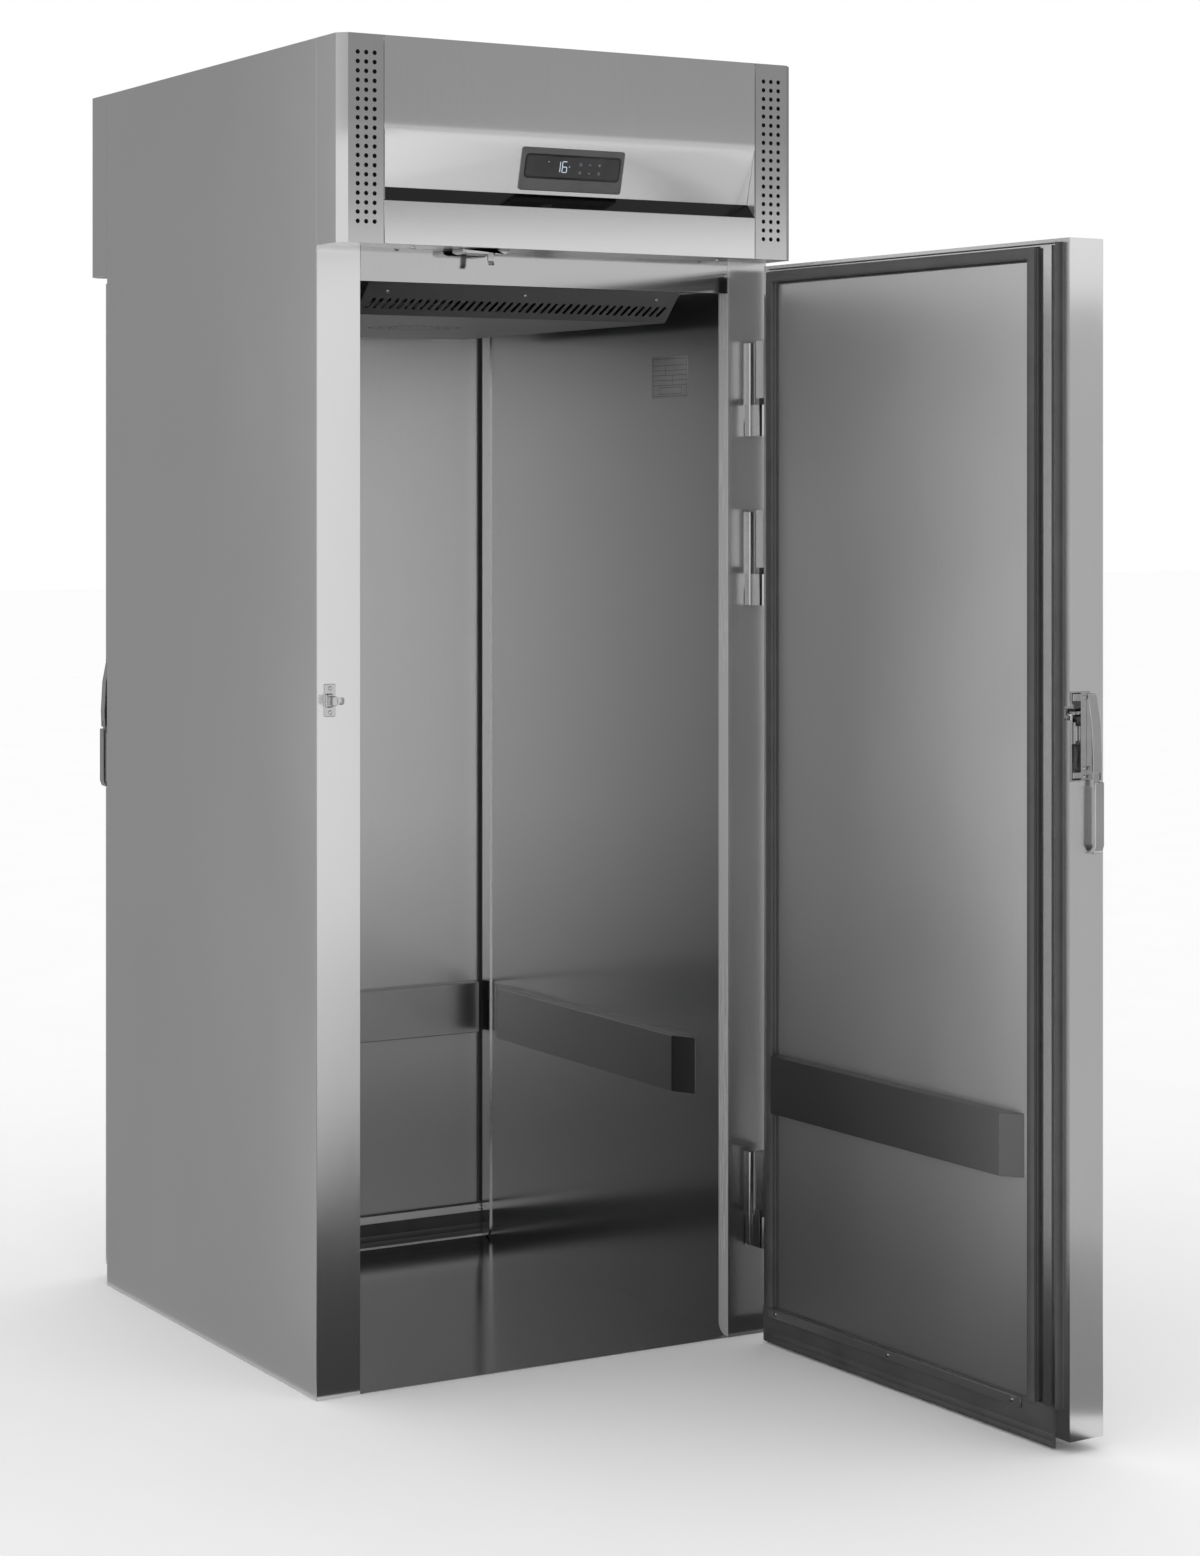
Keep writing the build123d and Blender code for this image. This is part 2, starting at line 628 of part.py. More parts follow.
def air_baffle():
    """Upright sheet on the deck behind the front left vents, in front of the compressor."""
    x = (-HALF_W + SKIN + 0.4, COMPRESSOR_AT[0] + COMPRESSOR_R + 7)
    y = FRONT + BAFFLE_FROM_FRONT
    sheet = box(x, (y, y - BAFFLE_T), (DECK_Z, HEIGHT - BAFFLE_BELOW_TOP))
    foot = box(x, (y, y - BAFFLE_FOOT), (DECK_Z, DECK_Z + BAFFLE_T))
    return sheet + foot


def condenser_fan_blade():
    middle = (CONDENSER_X[0] + CONDENSER_X[1]) / 2
    back = CONDENSER_Y[1] + SHROUD_DEPTH
    seat = Plane(origin=(middle, back - 4, COND_FAN_Z), x_dir=(1, 0, 0), z_dir=(0, 1, 0))
    return seat * fan_blades(COND_BLADE_R, 20, 4, 26)


def drain_tray():
    outer = box(TRAY_X, TRAY_Y, (DECK_Z, DECK_Z + TRAY_H))
    wall = 1.5
    room = box((TRAY_X[0] + wall, TRAY_X[1] - wall), (TRAY_Y[0] + wall, TRAY_Y[1] - wall),
               (DECK_Z + wall, DECK_Z + TRAY_H + 1))
    rim = box((TRAY_X[0] - 6, TRAY_X[1] + 6), (TRAY_Y[0] - 6, TRAY_Y[1] + 6),
              (DECK_Z + TRAY_H - wall, DECK_Z + TRAY_H))
    return outer + rim - room


def control_box():
    shell = box(CONTROL_X, CONTROL_Y, (DECK_Z, DECK_Z + CONTROL_H))
    shell = chamfer(shell.edges().group_by(Axis.Z)[-1], 4)
    lid = box((CONTROL_X[0] + 6, CONTROL_X[1] - 6), (CONTROL_Y[0] + 6, CONTROL_Y[1] - 6),
              (DECK_Z + CONTROL_H, DECK_Z + CONTROL_H + 3))
    top = DECK_Z + CONTROL_H
    box_with_glands = shell + lid
    for index in (0, 1):
        y = CONTROL_Y[1] - 30 - index * 45
        gland = post(CONTROL_X[0] + 25, y, (top, top + GLAND_H), GLAND_R)
        bore = post(CONTROL_X[0] + 25, y, (top - 10, top + GLAND_H + 1), GLAND_BORE_R)
        box_with_glands = box_with_glands + gland - bore
    return box_with_glands


def pipe(points, radii):
    """Tube along straight runs joined by arcs."""
    path = FilletPolyline(*points, radius=radii)
    start = Plane(origin=points[0], z_dir=path % 0)
    return sweep(start * Circle(PIPE_R), path)


def refrigerant_pipes():
    """Discharge, suction and liquid lines between compressor, condenser and hood."""
    x, y = COMPRESSOR_AT
    out_x = x + COMPRESSOR_R + 12
    hood_y = -(BAY_Y + HOOD_WALL + SKIN)
    end_x = CONDENSER_X[0]
    coil_y = sum(CONDENSER_Y) / 2
    low = DECK_Z + 60
    discharge = pipe([(out_x, y - 30, low), (end_x - 80, y - 30, low), (end_x - 80, coil_y, low),
                      (end_x, coil_y, low)], 20)
    suction_z = DECK_Z + 120
    turn_x = out_x + 60
    suction = pipe([(out_x, y + 40, suction_z), (turn_x, y + 40, suction_z), (turn_x, hood_y, suction_z)], 20)
    high = DECK_Z + 200
    liquid = pipe([(end_x, coil_y, high), (end_x - 50, coil_y, high), (end_x - 50, hood_y, high)], 22)
    return group([discharge, suction, liquid])


# Doors, closed at the front

def door_shell():
    t = DOOR_SHEET
    outer = box((LOCK_X, DOOR_HINGE_X), (OUTER_Y, INNER_Y), (DOOR_BOTTOM, DOOR_TOP))
    outer = fillet(outer.edges().filter_by(Axis.Z).sort_by(Axis.Y)[:2], 3)
    room = box((LOCK_X + t, DOOR_HINGE_X - t), (OUTER_Y + t, INNER_Y - t), (DOOR_BOTTOM + t, DOOR_TOP - t))
    window = box((LOCK_X + FLANGE_LOCK, DOOR_HINGE_X - FLANGE_HINGE), (INNER_Y - t - 1, INNER_Y + 1),
                 (DOOR_BOTTOM + FLANGE_BOTTOM, DOOR_TOP - FLANGE_TOP))
    fold = box((LOCK_X + FOLD_FROM_LOCK[0], LOCK_X + FOLD_FROM_LOCK[1]), (INNER_Y - t, INNER_Y + FOLD_PROUD),
               (SWEEP_TOP + 0.5, DOOR_TOP - FLANGE_TOP))
    shell = outer - room - window + fold
    return shell - slot_cutter() - nose_notch()


def depth(n):
    """Y of a point n behind the door's inner face."""
    return INNER_Y - n


def slot_cutter():
    return box((LOCK_X - 1, LOCK_X + 5), (depth(SLOT_N[0]), depth(SLOT_N[1])),
               (SLOT_Z[0] + 1, SLOT_Z[1] - 1))


def nose_notch():
    """Way in for the strike's nose through the corner of the shell."""
    gap = 3.0
    return box((LOCK_X - 2, LOCK_X + NOSE_IN + 4), (depth(-2), depth(SLOT_N[0] + 2)),
               (NOSE_Z[0] - gap - 1, NOSE_Z[1] + gap + 1))


def lock_case():
    """Open-fronted case behind the slot, with its face plate on the door's edge."""
    w = CASE_WALL
    x = (LOCK_X + DOOR_SHEET + 0.1, LOCK_X + CASE_DEPTH)
    n = (SLOT_N[0] - w + 0.1, SLOT_N[1] - 0.2)
    z = (SLOT_Z[0] + 1.2, SLOT_Z[1] - 1.2)
    outer = box(x, (depth(n[0]), depth(n[1])), z)
    outer = outer + box((LOCK_X, x[0]), (depth(SLOT_N[0] + 0.2), depth(n[1])), z)
    room = box((LOCK_X - 1, x[1] - w), (depth(n[0] + w), depth(n[1] - w)), (z[0] + w, z[1] - w))
    face = box((FACE_X, LOCK_X), (depth(FACE_N[0]), depth(FACE_N[1])), SLOT_Z)
    face = face - box((LOCK_X - 3, LOCK_X + 1), (depth(n[0] + w), depth(n[1] - w)), (z[0] + w, z[1] - w))
    return outer + face - room - nose_notch()


def door_insulation():
    t = DOOR_SHEET
    deep = GROOVE_DEPTH
    x = (LOCK_X + t, DOOR_HINGE_X - t)
    block = box(x, (OUTER_Y + t, depth(deep)), (DOOR_BOTTOM + t, DOOR_TOP - t))
    hinge_x = DOOR_HINGE_X - FLANGE_HINGE
    lock_x = LOCK_X + FLANGE_LOCK
    flange_y = (depth(deep), depth(t))
    pads = [box((hinge_x, x[1]), flange_y, (DOOR_BOTTOM + t, DOOR_TOP - t)),
            box((x[0], lock_x), flange_y, (DOOR_BOTTOM + t, DOOR_TOP - t)),
            box((lock_x, hinge_x), flange_y, (DOOR_TOP - FLANGE_TOP, DOOR_TOP - t)),
            box((lock_x, hinge_x), flange_y, (DOOR_BOTTOM + t, DOOR_BOTTOM + FLANGE_BOTTOM))]
    panel_x, panel_z = panel_edges()
    pad = box((panel_x[0] + 1, panel_x[1] - 1), (depth(deep), depth(1)), (panel_z[0] + 1, panel_z[1] - 1))
    pads.append(fillet(pad.edges().group_by(Axis.Y)[-1], 3))
    block = join([block] + pads)
    case = box((LOCK_X, LOCK_X + CASE_DEPTH + 0.2), (depth(0), depth(SLOT_N[1] + 0.5)), SLOT_Z)
    return block - case


def panel_edges():
    """X and Z limits of the inner panel, inside the seal's groove."""
    x = (LOCK_X + FLANGE_LOCK + GROOVE_W, DOOR_HINGE_X - FLANGE_HINGE - GROOVE_W)
    z = (DOOR_BOTTOM + FLANGE_BOTTOM, DOOR_TOP - FLANGE_TOP - GROOVE_W)
    return x, z


def inner_panel():
    x, z = panel_edges()
    outer = box(x, (depth(GROOVE_DEPTH), depth(0)), z)
    outer = fillet(outer.edges().group_by(Axis.Y)[-1], 4)
    room = box((x[0] + 1, x[1] - 1), (depth(GROOVE_DEPTH + 1), depth(1)), (z[0] + 1, z[1] - 1))
    room = fillet(room.edges().group_by(Axis.Y)[-1], 3)
    return outer - room


def seal_path():
    """Centre line of the main seal, up one side, across the top and down the other."""
    lock = LOCK_X + FLANGE_LOCK + GROOVE_W / 2
    hinge = DOOR_HINGE_X - FLANGE_HINGE - GROOVE_W / 2
    top = DOOR_TOP - FLANGE_TOP - GROOVE_W / 2
    return lock, hinge, top


def door_seals():
    """Main seal on three sides, and the lip seal on the lock side and along the top."""
    half = GASKET_W / 2
    lock, hinge, top = seal_path()
    root = depth(GROOVE_DEPTH - 0.1)
    tip = FRONT - GASKET_TIP_GAP
    shoulder = depth(-3.0)
    section = [(-half, root), (half, root), (half, shoulder), (half - 2.5, tip), (-half + 2.5, tip),
               (-half, shoulder)]
    low = SWEEP_TOP + 0.3
    sides = []
    for at in (lock, hinge):
        sides.append(plan_block([(at + x, y) for x, y in section], (low, top + half)))
    across = side_block([(y, top + x) for x, y in section], (lock - half, hinge + half))
    main = join(sides + [across])
    lip_x = LOCK_X + LIP_FROM_LOCK
    base = box((lip_x - 4, lip_x + LIP_T + 4), (depth(0), depth(-1.5)), (SWEEP_TOP + 0.5, DOOR_TOP - 1))
    lip = box((lip_x, lip_x + LIP_T), (depth(-1.5), tip), (SWEEP_TOP + 0.5, DOOR_TOP - 6))
    over_z = (DOOR_TOP - 8, DOOR_TOP - 5.5)
    over = box((lip_x, DOOR_HINGE_X - FLANGE_HINGE), (depth(0), depth(-5)), over_z)
    return group([main, join([base, lip, over])])


def door_rail():
    """Bumper rail across the inner panel."""
    out = DOOR_RAIL_PROUD
    t = RAIL_SHEET
    xs = [DOOR_HINGE_X - value for value in DOOR_RAIL_FROM_HINGE]
    xs += [LOCK_X + value for value in reversed(DOOR_RAIL_FROM_LOCK)]
    y0 = depth(0)
    y1 = depth(-out)
    outer = [(xs[0], y0), (xs[1], y1), (xs[2], y1), (xs[3], y0)]
    inner = [(xs[0] - t * 2, y0 - 1), (xs[1] - t * 0.5, y1 - t), (xs[2] + t * 0.5, y1 - t),
             (xs[3] + t * 2, y0 - 1)]
    z = (RAIL_Z, RAIL_Z + RAIL_H)
    return plan_block(outer, z) - plan_block(inner, (z[0] + t, z[1] - t))


def door_sweep():
    """Rubber strip along the foot of the door."""
    x = (LOCK_X + FOLD_FROM_LOCK[0], DOOR_HINGE_X - 5)
    strip = box(x, (depth(0), depth(-SWEEP_T)), (SWEEP_LOW, SWEEP_TOP))
    return chamfer(strip.edges().filter_by(Axis.X).group_by(Axis.Z)[0].sort_by(Axis.Y)[-1:], 3)


def sweep_clamp():
    """Steel strip that holds the sweep."""
    x = (LOCK_X + DOOR_RAIL_FROM_LOCK[0], DOOR_HINGE_X - FLANGE_HINGE - 2)
    y = (depth(-SWEEP_T), depth(-SWEEP_T - CLAMP_T))
    return box(x, y, CLAMP_Z)


def door_screws():
    """Screws of the sweep strip and of the lock's face plate."""
    pieces = []
    clamp_z = sum(CLAMP_Z) / 2
    ends = (DOOR_HINGE_X - 44, LOCK_X + 130)
    for x in (ends[0], sum(ends) / 2, ends[1]):
        pieces.append(dome_screw(x, depth(-SWEEP_T - CLAMP_T), clamp_z, (0, 1, 0)))
    for z in (SLOT_Z[1] - 10, SLOT_Z[0] + 20, SLOT_Z[0] + 7):
        pieces.append(dome_screw(FACE_X, depth(29), z, (-1, 0, 0), radius=3.2, height=1.6))
    return group(pieces)


def handle_body():
    """Cast cover on the door's edge that carries the pull, open at its foot and back."""
    face = FACE_X
    z0, z1 = BODY_Z
    outline = [(face, z0), (face - GRIP_OUT[1] + 1, z0), (face - GRIP_OUT[1], z0 + 30), (face - 13, z0 + 85),
               (face - 5, z1 - 8), (face - 1.5, z1), (face, z1)]
    solid = front_block(outline, (depth(BODY_N[0]), depth(BODY_N[1])))
    wall = BODY_WALL
    outside = face - GRIP_OUT[1]
    hollow_y = (depth(BODY_N[0] + wall), depth(BODY_N[1] - wall))
    hollow = [(face + 1, z0 - 1), (outside + wall + 1, z0 - 1), (outside + wall, z0 + 28),
              (face + 1, z0 + 28)]
    notch = box((outside - 1, outside + 5), hollow_y, (z0 - 1, z0 + 11))
    solid = solid - front_block(hollow, hollow_y) - notch
    pin = bar_y(face - GRIP_PIN_OUT, (depth(BODY_N[0] + 1), depth(BODY_N[1] - 1)), GRIP_PIN_Z, GRIP_PIN_R)
    return solid + pin


def handle_grip():
    """Pull that hangs on the body's pin and curls back to the door at its foot."""
    face = FACE_X
    near, far = GRIP_OUT
    z0, z1 = GRIP_Z
    curl = 14.0
    outline = [(face - near, z1), (face - far, z1), (face - far, z0 + curl), (face - far + 4, z0 + 4),
               (face - 5, z0), (face - 2, z0 + 5), (face - near, z0 + curl)]
    blade = front_block(outline, (depth(GRIP_N[0]), depth(GRIP_N[1])))
    neck_n = (BODY_N[0] + BODY_WALL + 0.6, BODY_N[1] - BODY_WALL - 0.6)
    neck = box((face - far + 3.3, face - GRIP_PIN_OUT + 4), (depth(neck_n[0]), depth(neck_n[1])),
               (z1 - 8, GRIP_PIN_Z + 6))
    hole = bar_y(face - GRIP_PIN_OUT, (depth(BODY_N[0]), depth(BODY_N[1])), GRIP_PIN_Z, GRIP_PIN_R + PIN_GAP)
    return blade + neck - hole


def latch_bolt():
    """Sprung bolt inside the lock case, bevelled where it meets the strike."""
    x = (LOCK_X + BOLT_IN[0], LOCK_X + BOLT_IN[1])
    y = (depth(BOLT_N[0]), depth(BOLT_N[1]))
    block = box(x, y, BOLT_Z)
    bevel = side_block([(y[0] + 1, BOLT_Z[1] - 5), (y[0] + 1, BOLT_Z[1] + 1), (y[1] + 0.4, BOLT_Z[1] + 1)],
                       (x[0] - 1, x[1] + 1))
    stem = box((x[0] + 3, x[1] - 3), y, (BOLT_Z[0] - 34, BOLT_Z[0]))
    return block + stem - bevel


def latch_strike():
    """Strike on the stile: base plate, arm and the nose that enters the lock."""
    arm_x = (LOCK_X - STRIKE_OUT, LOCK_X - STRIKE_OUT + STRIKE_ARM)
    plate = box((arm_x[0] - 2, arm_x[1] + 8), (FRONT - 2.5, FRONT), (NOSE_Z[0] - 20, NOSE_Z[1] + 20))
    arm = box(arm_x, (FRONT - 2.5, depth(NOSE_N[1])), (NOSE_Z[0] - 2, NOSE_Z[1] + 2))
    arm = chamfer(arm.edges().filter_by(Axis.X).group_by(Axis.Y)[0], 2)
    nose = box((arm_x[1], LOCK_X + NOSE_IN), (depth(NOSE_N[0]), depth(NOSE_N[1])), NOSE_Z)
    return plate + arm + nose


# Hinges

def hinge_frame_halves():
    """Frame half of each hinge: base, upright rib and the knuckle that holds the pin."""
    halves = []
    for z in HINGE_Z:
        low = (z, z + HINGE_LOW_H)
        base = box((DOOR_HINGE_X - 6, DOOR_HINGE_X + 37), (FRONT - 4, FRONT), low)
        rib_z = (z, z + HINGE_LOW_H + BUSH_H + HINGE_UP_H - 5)
        rib = box((DOOR_HINGE_X - 2, DOOR_HINGE_X + 10), (FRONT - 11, FRONT), rib_z)
        rib = fillet(rib.edges().filter_by(Axis.Z).group_by(Axis.Y)[0], 3.5)
        knuckle = post(PIVOT_X, PIVOT_Y, low, KNUCKLE_R)
        web = box((PIVOT_X - KNUCKLE_R, PIVOT_X + KNUCKLE_R), (PIVOT_Y, FRONT), low)
        bore = post(PIVOT_X, PIVOT_Y, (z - 1, z + HINGE_LOW_H + 1), HINGE_PIN_R)
        halves.append(join([base, rib, knuckle, web]) - bore)
    return halves


def hinge_door_halves():
    """Door half of each hinge, fixed on the door's edge and bored for the pin."""
    halves = []
    for z in HINGE_Z:
        high = (z + HINGE_LOW_H + BUSH_H + 0.2, z + HINGE_LOW_H + BUSH_H + HINGE_UP_H)
        block = box((DOOR_HINGE_X, DOOR_HINGE_X + 31), (INNER_Y - 40, INNER_Y - 2), high)
        edges = block.edges().filter_by(Axis.Z).group_by(Axis.X)[-1]
        block = chamfer(edges, 4)
        bore = post(PIVOT_X, PIVOT_Y, (high[0] - 1, high[1] - 8), HINGE_PIN_R + PIN_GAP)
        halves.append(block - bore)
    return halves


def hinge_pins():
    pins = []
    for z in HINGE_Z:
        length = HINGE_LOW_H + BUSH_H + HINGE_UP_H - 12
        pins.append(post(PIVOT_X, PIVOT_Y, (z, z + length), HINGE_PIN_R - 0.02))
    return pins


def hinge_bushes():
    bushes = []
    for z in HINGE_Z:
        high = (z + HINGE_LOW_H, z + HINGE_LOW_H + BUSH_H)
        bore = post(PIVOT_X, PIVOT_Y, (high[0] - 1, high[1] + 1), HINGE_PIN_R)
        bushes.append(post(PIVOT_X, PIVOT_Y, high, BUSH_R) - bore)
    return bushes


# Door switch

def door_switch():
    """Switch body under the header, cut away round the lever."""
    z = (HEADER_Z - SWITCH_H, HEADER_Z)
    outline = [(SWITCH_X[0] + 8, z[0]), (SWITCH_X[1] - 12, z[0]), (SWITCH_X[1], z[1]), (SWITCH_X[0], z[1]),
               (SWITCH_X[0], z[0] + 3)]
    body = front_block(outline, SWITCH_Y)
    gap = 1.0
    pivot_z = HEADER_Z - LEVER_PIVOT_DROP
    slot = box((LEVER_X[0] - gap, LEVER_X[1] + gap), (SWITCH_Y[0] - 1, LEVER_PIVOT_Y + LEVER_REACH + 3),
               (z[0] - 1, z[1] - 0.4))
    pin = bar_x((LEVER_X[0] - 4, LEVER_X[1] + 4), LEVER_PIVOT_Y, pivot_z, 1.5)
    return body - slot + pin


def switch_lever():
    """Lever as it hangs with the door open, its tip curled towards the front."""
    pivot_z = HEADER_Z - LEVER_PIVOT_DROP
    y = LEVER_PIVOT_Y
    tip_z = pivot_z - LEVER_REACH
    back = [(y - 2.6, pivot_z + 1), (y + 2.6, pivot_z + 1), (y + 2.8, pivot_z - 8), (y + 1.2, pivot_z - 17)]
    front = [(y - 2.6, tip_z + 1.5), (y - 4.2, tip_z + 3), (y - 1.6, pivot_z - 15), (y - 1.8, pivot_z - 8)]
    blade = side_block(back + front, LEVER_X)
    eye = bar_x(LEVER_X, y, pivot_z, LEVER_EYE_R)
    hole = bar_x((LEVER_X[0] - 1, LEVER_X[1] + 1), y, pivot_z, 1.5 + PIN_GAP)
    return blade + eye - hole


def folded(lever):
    """Lever as the closed door holds it, turned up under the header."""
    pivot = Pos(0, LEVER_PIVOT_Y, HEADER_Z - LEVER_PIVOT_DROP)
    return pivot * Rot(LEVER_FOLD, 0, 0) * pivot.inverse() * lever


def cabinet_screws():
    """Screws of the strikes, header undersides, duct cover and data plate."""
    front = []
    for z in (NOSE_Z[1] + 13, NOSE_Z[0] - 13):
        front.append(dome_screw(LOCK_X - 6, FRONT - 2.5, z, (0, -1, 0), radius=3.6, height=1.8))
    for x in (-HALF_W + 162, HALF_W - 122):
        front.append(dome_screw(x, FRONT - 30, HEADER_Z, (0, 0, -1)))
    down = SCREW_BELOW_EDGE * math.sqrt(0.5)
    apart = SCREW_EVERY * SLOT_PITCH
    for x in (BAY_AT - apart, BAY_AT, BAY_AT + apart):
        y = -DUCT_TOP_Y + down
        front.append(dome_screw(x, y, CEILING - down, (0, -1, -1), radius=3.0, height=1.5))
    return group(front + [to_back(piece) for piece in front])


# Rest pose of the two doors

def front_pose(shape):
    pivot = Pos(PIVOT_X, PIVOT_Y, 0)
    return pivot * Rot(0, 0, REST_ANGLE) * pivot.inverse() * shape


def save_doors():
    """Every piece that rides on a door, once at the front and once at the rear."""
    pieces = {
        "door_shell": door_shell(),
        "door_insulation": door_insulation(),
        "door_inner_panel": inner_panel(),
        "door_seals": door_seals(),
        "door_rails": group([door_rail(), sweep_clamp()]),
        "door_sweep": door_sweep(),
        "door_hinge_halves": group(hinge_door_halves()),
        "door_screws": door_screws(),
        "lock_case": lock_case(),
        "handle_body": handle_body(),
        "handle_grip": handle_grip(),
        "latch_bolt": latch_bolt(),
    }
    for name, shape in pieces.items():
        save(front_pose(shape), "front_" + name)
        save(to_back(shape), "rear_" + name)


def save_cabinet():
    """Every piece that stays on the cabinet."""
    save(left_side_panel(), "left_side_panel")
    save(to_right(left_side_panel()), "right_side_panel")
    save(insulation(), "cabinet_insulation")
    save(wall_liners(), "wall_liners")
    save(ceiling_liner(), "ceiling_liner")
    save(floor_plate(), "floor_plate")
    save(front_frame(), "front_frame")
    save(to_back(front_frame()), "rear_frame")
    save(group([left_rail(), to_right(left_rail())]), "wall_rails")
    save(data_plate(), "data_plate")
    save(duct_cover(), "evaporator_duct_cover")
    save(machine_deck(), "machine_deck")
    save(header_fascia(True), "front_header_fascia")
    save(to_back(header_fascia(False)), "rear_header_fascia")
    save(header_vent_strips(), "header_vent_strips")
    save(header_underplates(), "header_underplates")
    save(controller_bezel(), "controller_bezel")
    save(controller(), "controller")
    save(group([latch_strike(), to_back(latch_strike())]), "latch_strikes")
    save(cabinet_screws(), "cabinet_screws")


def save_hinges():
    """Fixed hinge pieces of both doors."""
    for node, pieces in (("hinge_frame_halves", hinge_frame_halves()), ("hinge_pins", hinge_pins()),
                         ("hinge_bushes", hinge_bushes())):
        save(group(pieces + [to_back(piece) for piece in pieces]), node)


def save_machine():
    """Refrigeration and controls."""
    save(compressor(), "compressor")
    save(condenser_coil(), "condenser_coil")
    save(condenser_fan_shroud(), "condenser_fan_shroud")
    save(condenser_fan_blade(), "condenser_fan_blade")
    save(evaporator_coil(), "evaporator_coil")
    save(evaporator_fan_motor(), "evaporator_fan_motor")
    save(evaporator_fan_blade(), "evaporator_fan_blade")
    save(drain_tray(), "drain_tray")
    save(control_box(), "control_box")
    save(refrigerant_pipes(), "refrigerant_pipes")
    save(group([door_switch(), to_back(door_switch())]), "door_switches")
    save(switch_lever(), "front_switch_lever")
    save(to_back(folded(switch_lever())), "rear_switch_lever")


os.makedirs("parts", exist_ok=True)
save_cabinet()
save_hinges()
save_machine()
save_doors()
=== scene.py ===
"""Looks of the pass-through refrigerator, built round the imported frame. Metres, X right, Y back, Z up."""

import json
import math

import bmesh
import bpy
from mathutils import Matrix, Vector

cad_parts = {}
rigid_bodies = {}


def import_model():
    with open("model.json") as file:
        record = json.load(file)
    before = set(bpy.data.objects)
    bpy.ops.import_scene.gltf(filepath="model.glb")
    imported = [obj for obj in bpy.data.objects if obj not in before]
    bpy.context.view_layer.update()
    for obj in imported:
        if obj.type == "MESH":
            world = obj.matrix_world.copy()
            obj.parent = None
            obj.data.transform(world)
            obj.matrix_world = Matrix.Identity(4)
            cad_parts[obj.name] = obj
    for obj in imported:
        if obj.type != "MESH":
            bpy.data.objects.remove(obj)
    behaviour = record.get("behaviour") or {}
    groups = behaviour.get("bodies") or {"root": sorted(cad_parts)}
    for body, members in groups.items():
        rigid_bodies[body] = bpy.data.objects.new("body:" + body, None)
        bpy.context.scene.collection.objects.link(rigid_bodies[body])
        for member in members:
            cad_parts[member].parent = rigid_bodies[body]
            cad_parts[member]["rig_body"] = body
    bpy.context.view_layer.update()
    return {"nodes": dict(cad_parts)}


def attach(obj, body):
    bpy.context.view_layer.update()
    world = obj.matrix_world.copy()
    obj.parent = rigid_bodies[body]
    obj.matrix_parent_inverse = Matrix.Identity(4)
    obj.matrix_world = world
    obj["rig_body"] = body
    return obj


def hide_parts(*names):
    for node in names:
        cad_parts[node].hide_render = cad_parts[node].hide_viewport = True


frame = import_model()
MM = 0.001

PHOTO_WIDTH = 1200
PHOTO_HEIGHT = 1556
SENSOR_WIDTH = 36.0
LENS_BY_HEIGHT = 98.985
SHIFT_BY_WIDTH = -0.2431
CAMERA_PLACE = (-2.7705, -5.3584, 1.4996)
CAMERA_TURN = -30.34


def make_camera():
    """The photograph's viewpoint: level and turned 30 degrees, with the view shifted down."""
    data = bpy.data.cameras.new("photo_camera")
    data.sensor_width = SENSOR_WIDTH
    data.lens = LENS_BY_HEIGHT * PHOTO_WIDTH / PHOTO_HEIGHT
    data.shift_y = SHIFT_BY_WIDTH * PHOTO_WIDTH / PHOTO_HEIGHT
    data.clip_end = 100.0
    camera = bpy.data.objects.new("photo_camera", data)
    camera.location = CAMERA_PLACE
    camera.rotation_euler = (math.radians(90), 0, math.radians(CAMERA_TURN))
    bpy.context.scene.collection.objects.link(camera)
    bpy.context.scene.camera = camera


def new_material(name):
    """A new node material and its Principled shader."""
    material = bpy.data.materials.new(name)
    material.use_nodes = True
    shader = material.node_tree.nodes["Principled BSDF"]
    return material, shader


def add_node(material, kind, **settings):
    node = material.node_tree.nodes.new(kind)
    for key, value in settings.items():
        setattr(node, key, value)
    return node


def wire(material, source, target):
    material.node_tree.links.new(source, target)


def noise(material, scale, detail=3.0, roughness=0.55):
    """Noise in the object's own coordinates, stretched by scale along X, Y and Z."""
    place = add_node(material, "ShaderNodeTexCoord")
    stretch = add_node(material, "ShaderNodeMapping")
    stretch.inputs["Scale"].default_value = scale
    texture = add_node(material, "ShaderNodeTexNoise")
    texture.inputs["Scale"].default_value = 1.0
    texture.inputs["Detail"].default_value = detail
    texture.inputs["Roughness"].default_value = roughness
    wire(material, place.outputs["Object"], stretch.inputs["Vector"])
    wire(material, stretch.outputs["Vector"], texture.inputs["Vector"])
    return texture.outputs["Fac"]


def spread(material, value, low, high, source_low=0.3, source_high=0.7):
    """A value mapped to run from low to high."""
    node = add_node(material, "ShaderNodeMapRange")
    node.inputs["From Min"].default_value = source_low
    node.inputs["From Max"].default_value = source_high
    node.inputs["To Min"].default_value = low
    node.inputs["To Max"].default_value = high
    wire(material, value, node.inputs["Value"])
    return node.outputs["Result"]


def mixed(material, share, dark, light):
    """A colour between dark and light by a share from 0 to 1."""
    node = add_node(material, "ShaderNodeMix", data_type="RGBA")
    node.inputs["A"].default_value = (*dark, 1)
    node.inputs["B"].default_value = (*light, 1)
    wire(material, share, node.inputs["Factor"])
    return node.outputs["Result"]


BUMP_DEPTH = 0.0002


def bump(material, shader, height, strength):
    node = add_node(material, "ShaderNodeBump")
    node.inputs["Strength"].default_value = strength
    node.inputs["Distance"].default_value = BUMP_DEPTH
    wire(material, height, node.inputs["Height"])
    wire(material, node.outputs["Normal"], shader.inputs["Normal"])


def tint(colour, factor):
    return tuple(min(1.0, c * factor) for c in colour)


FOOT_HEIGHT = 0.2
KNEE_HEIGHT = 0.85


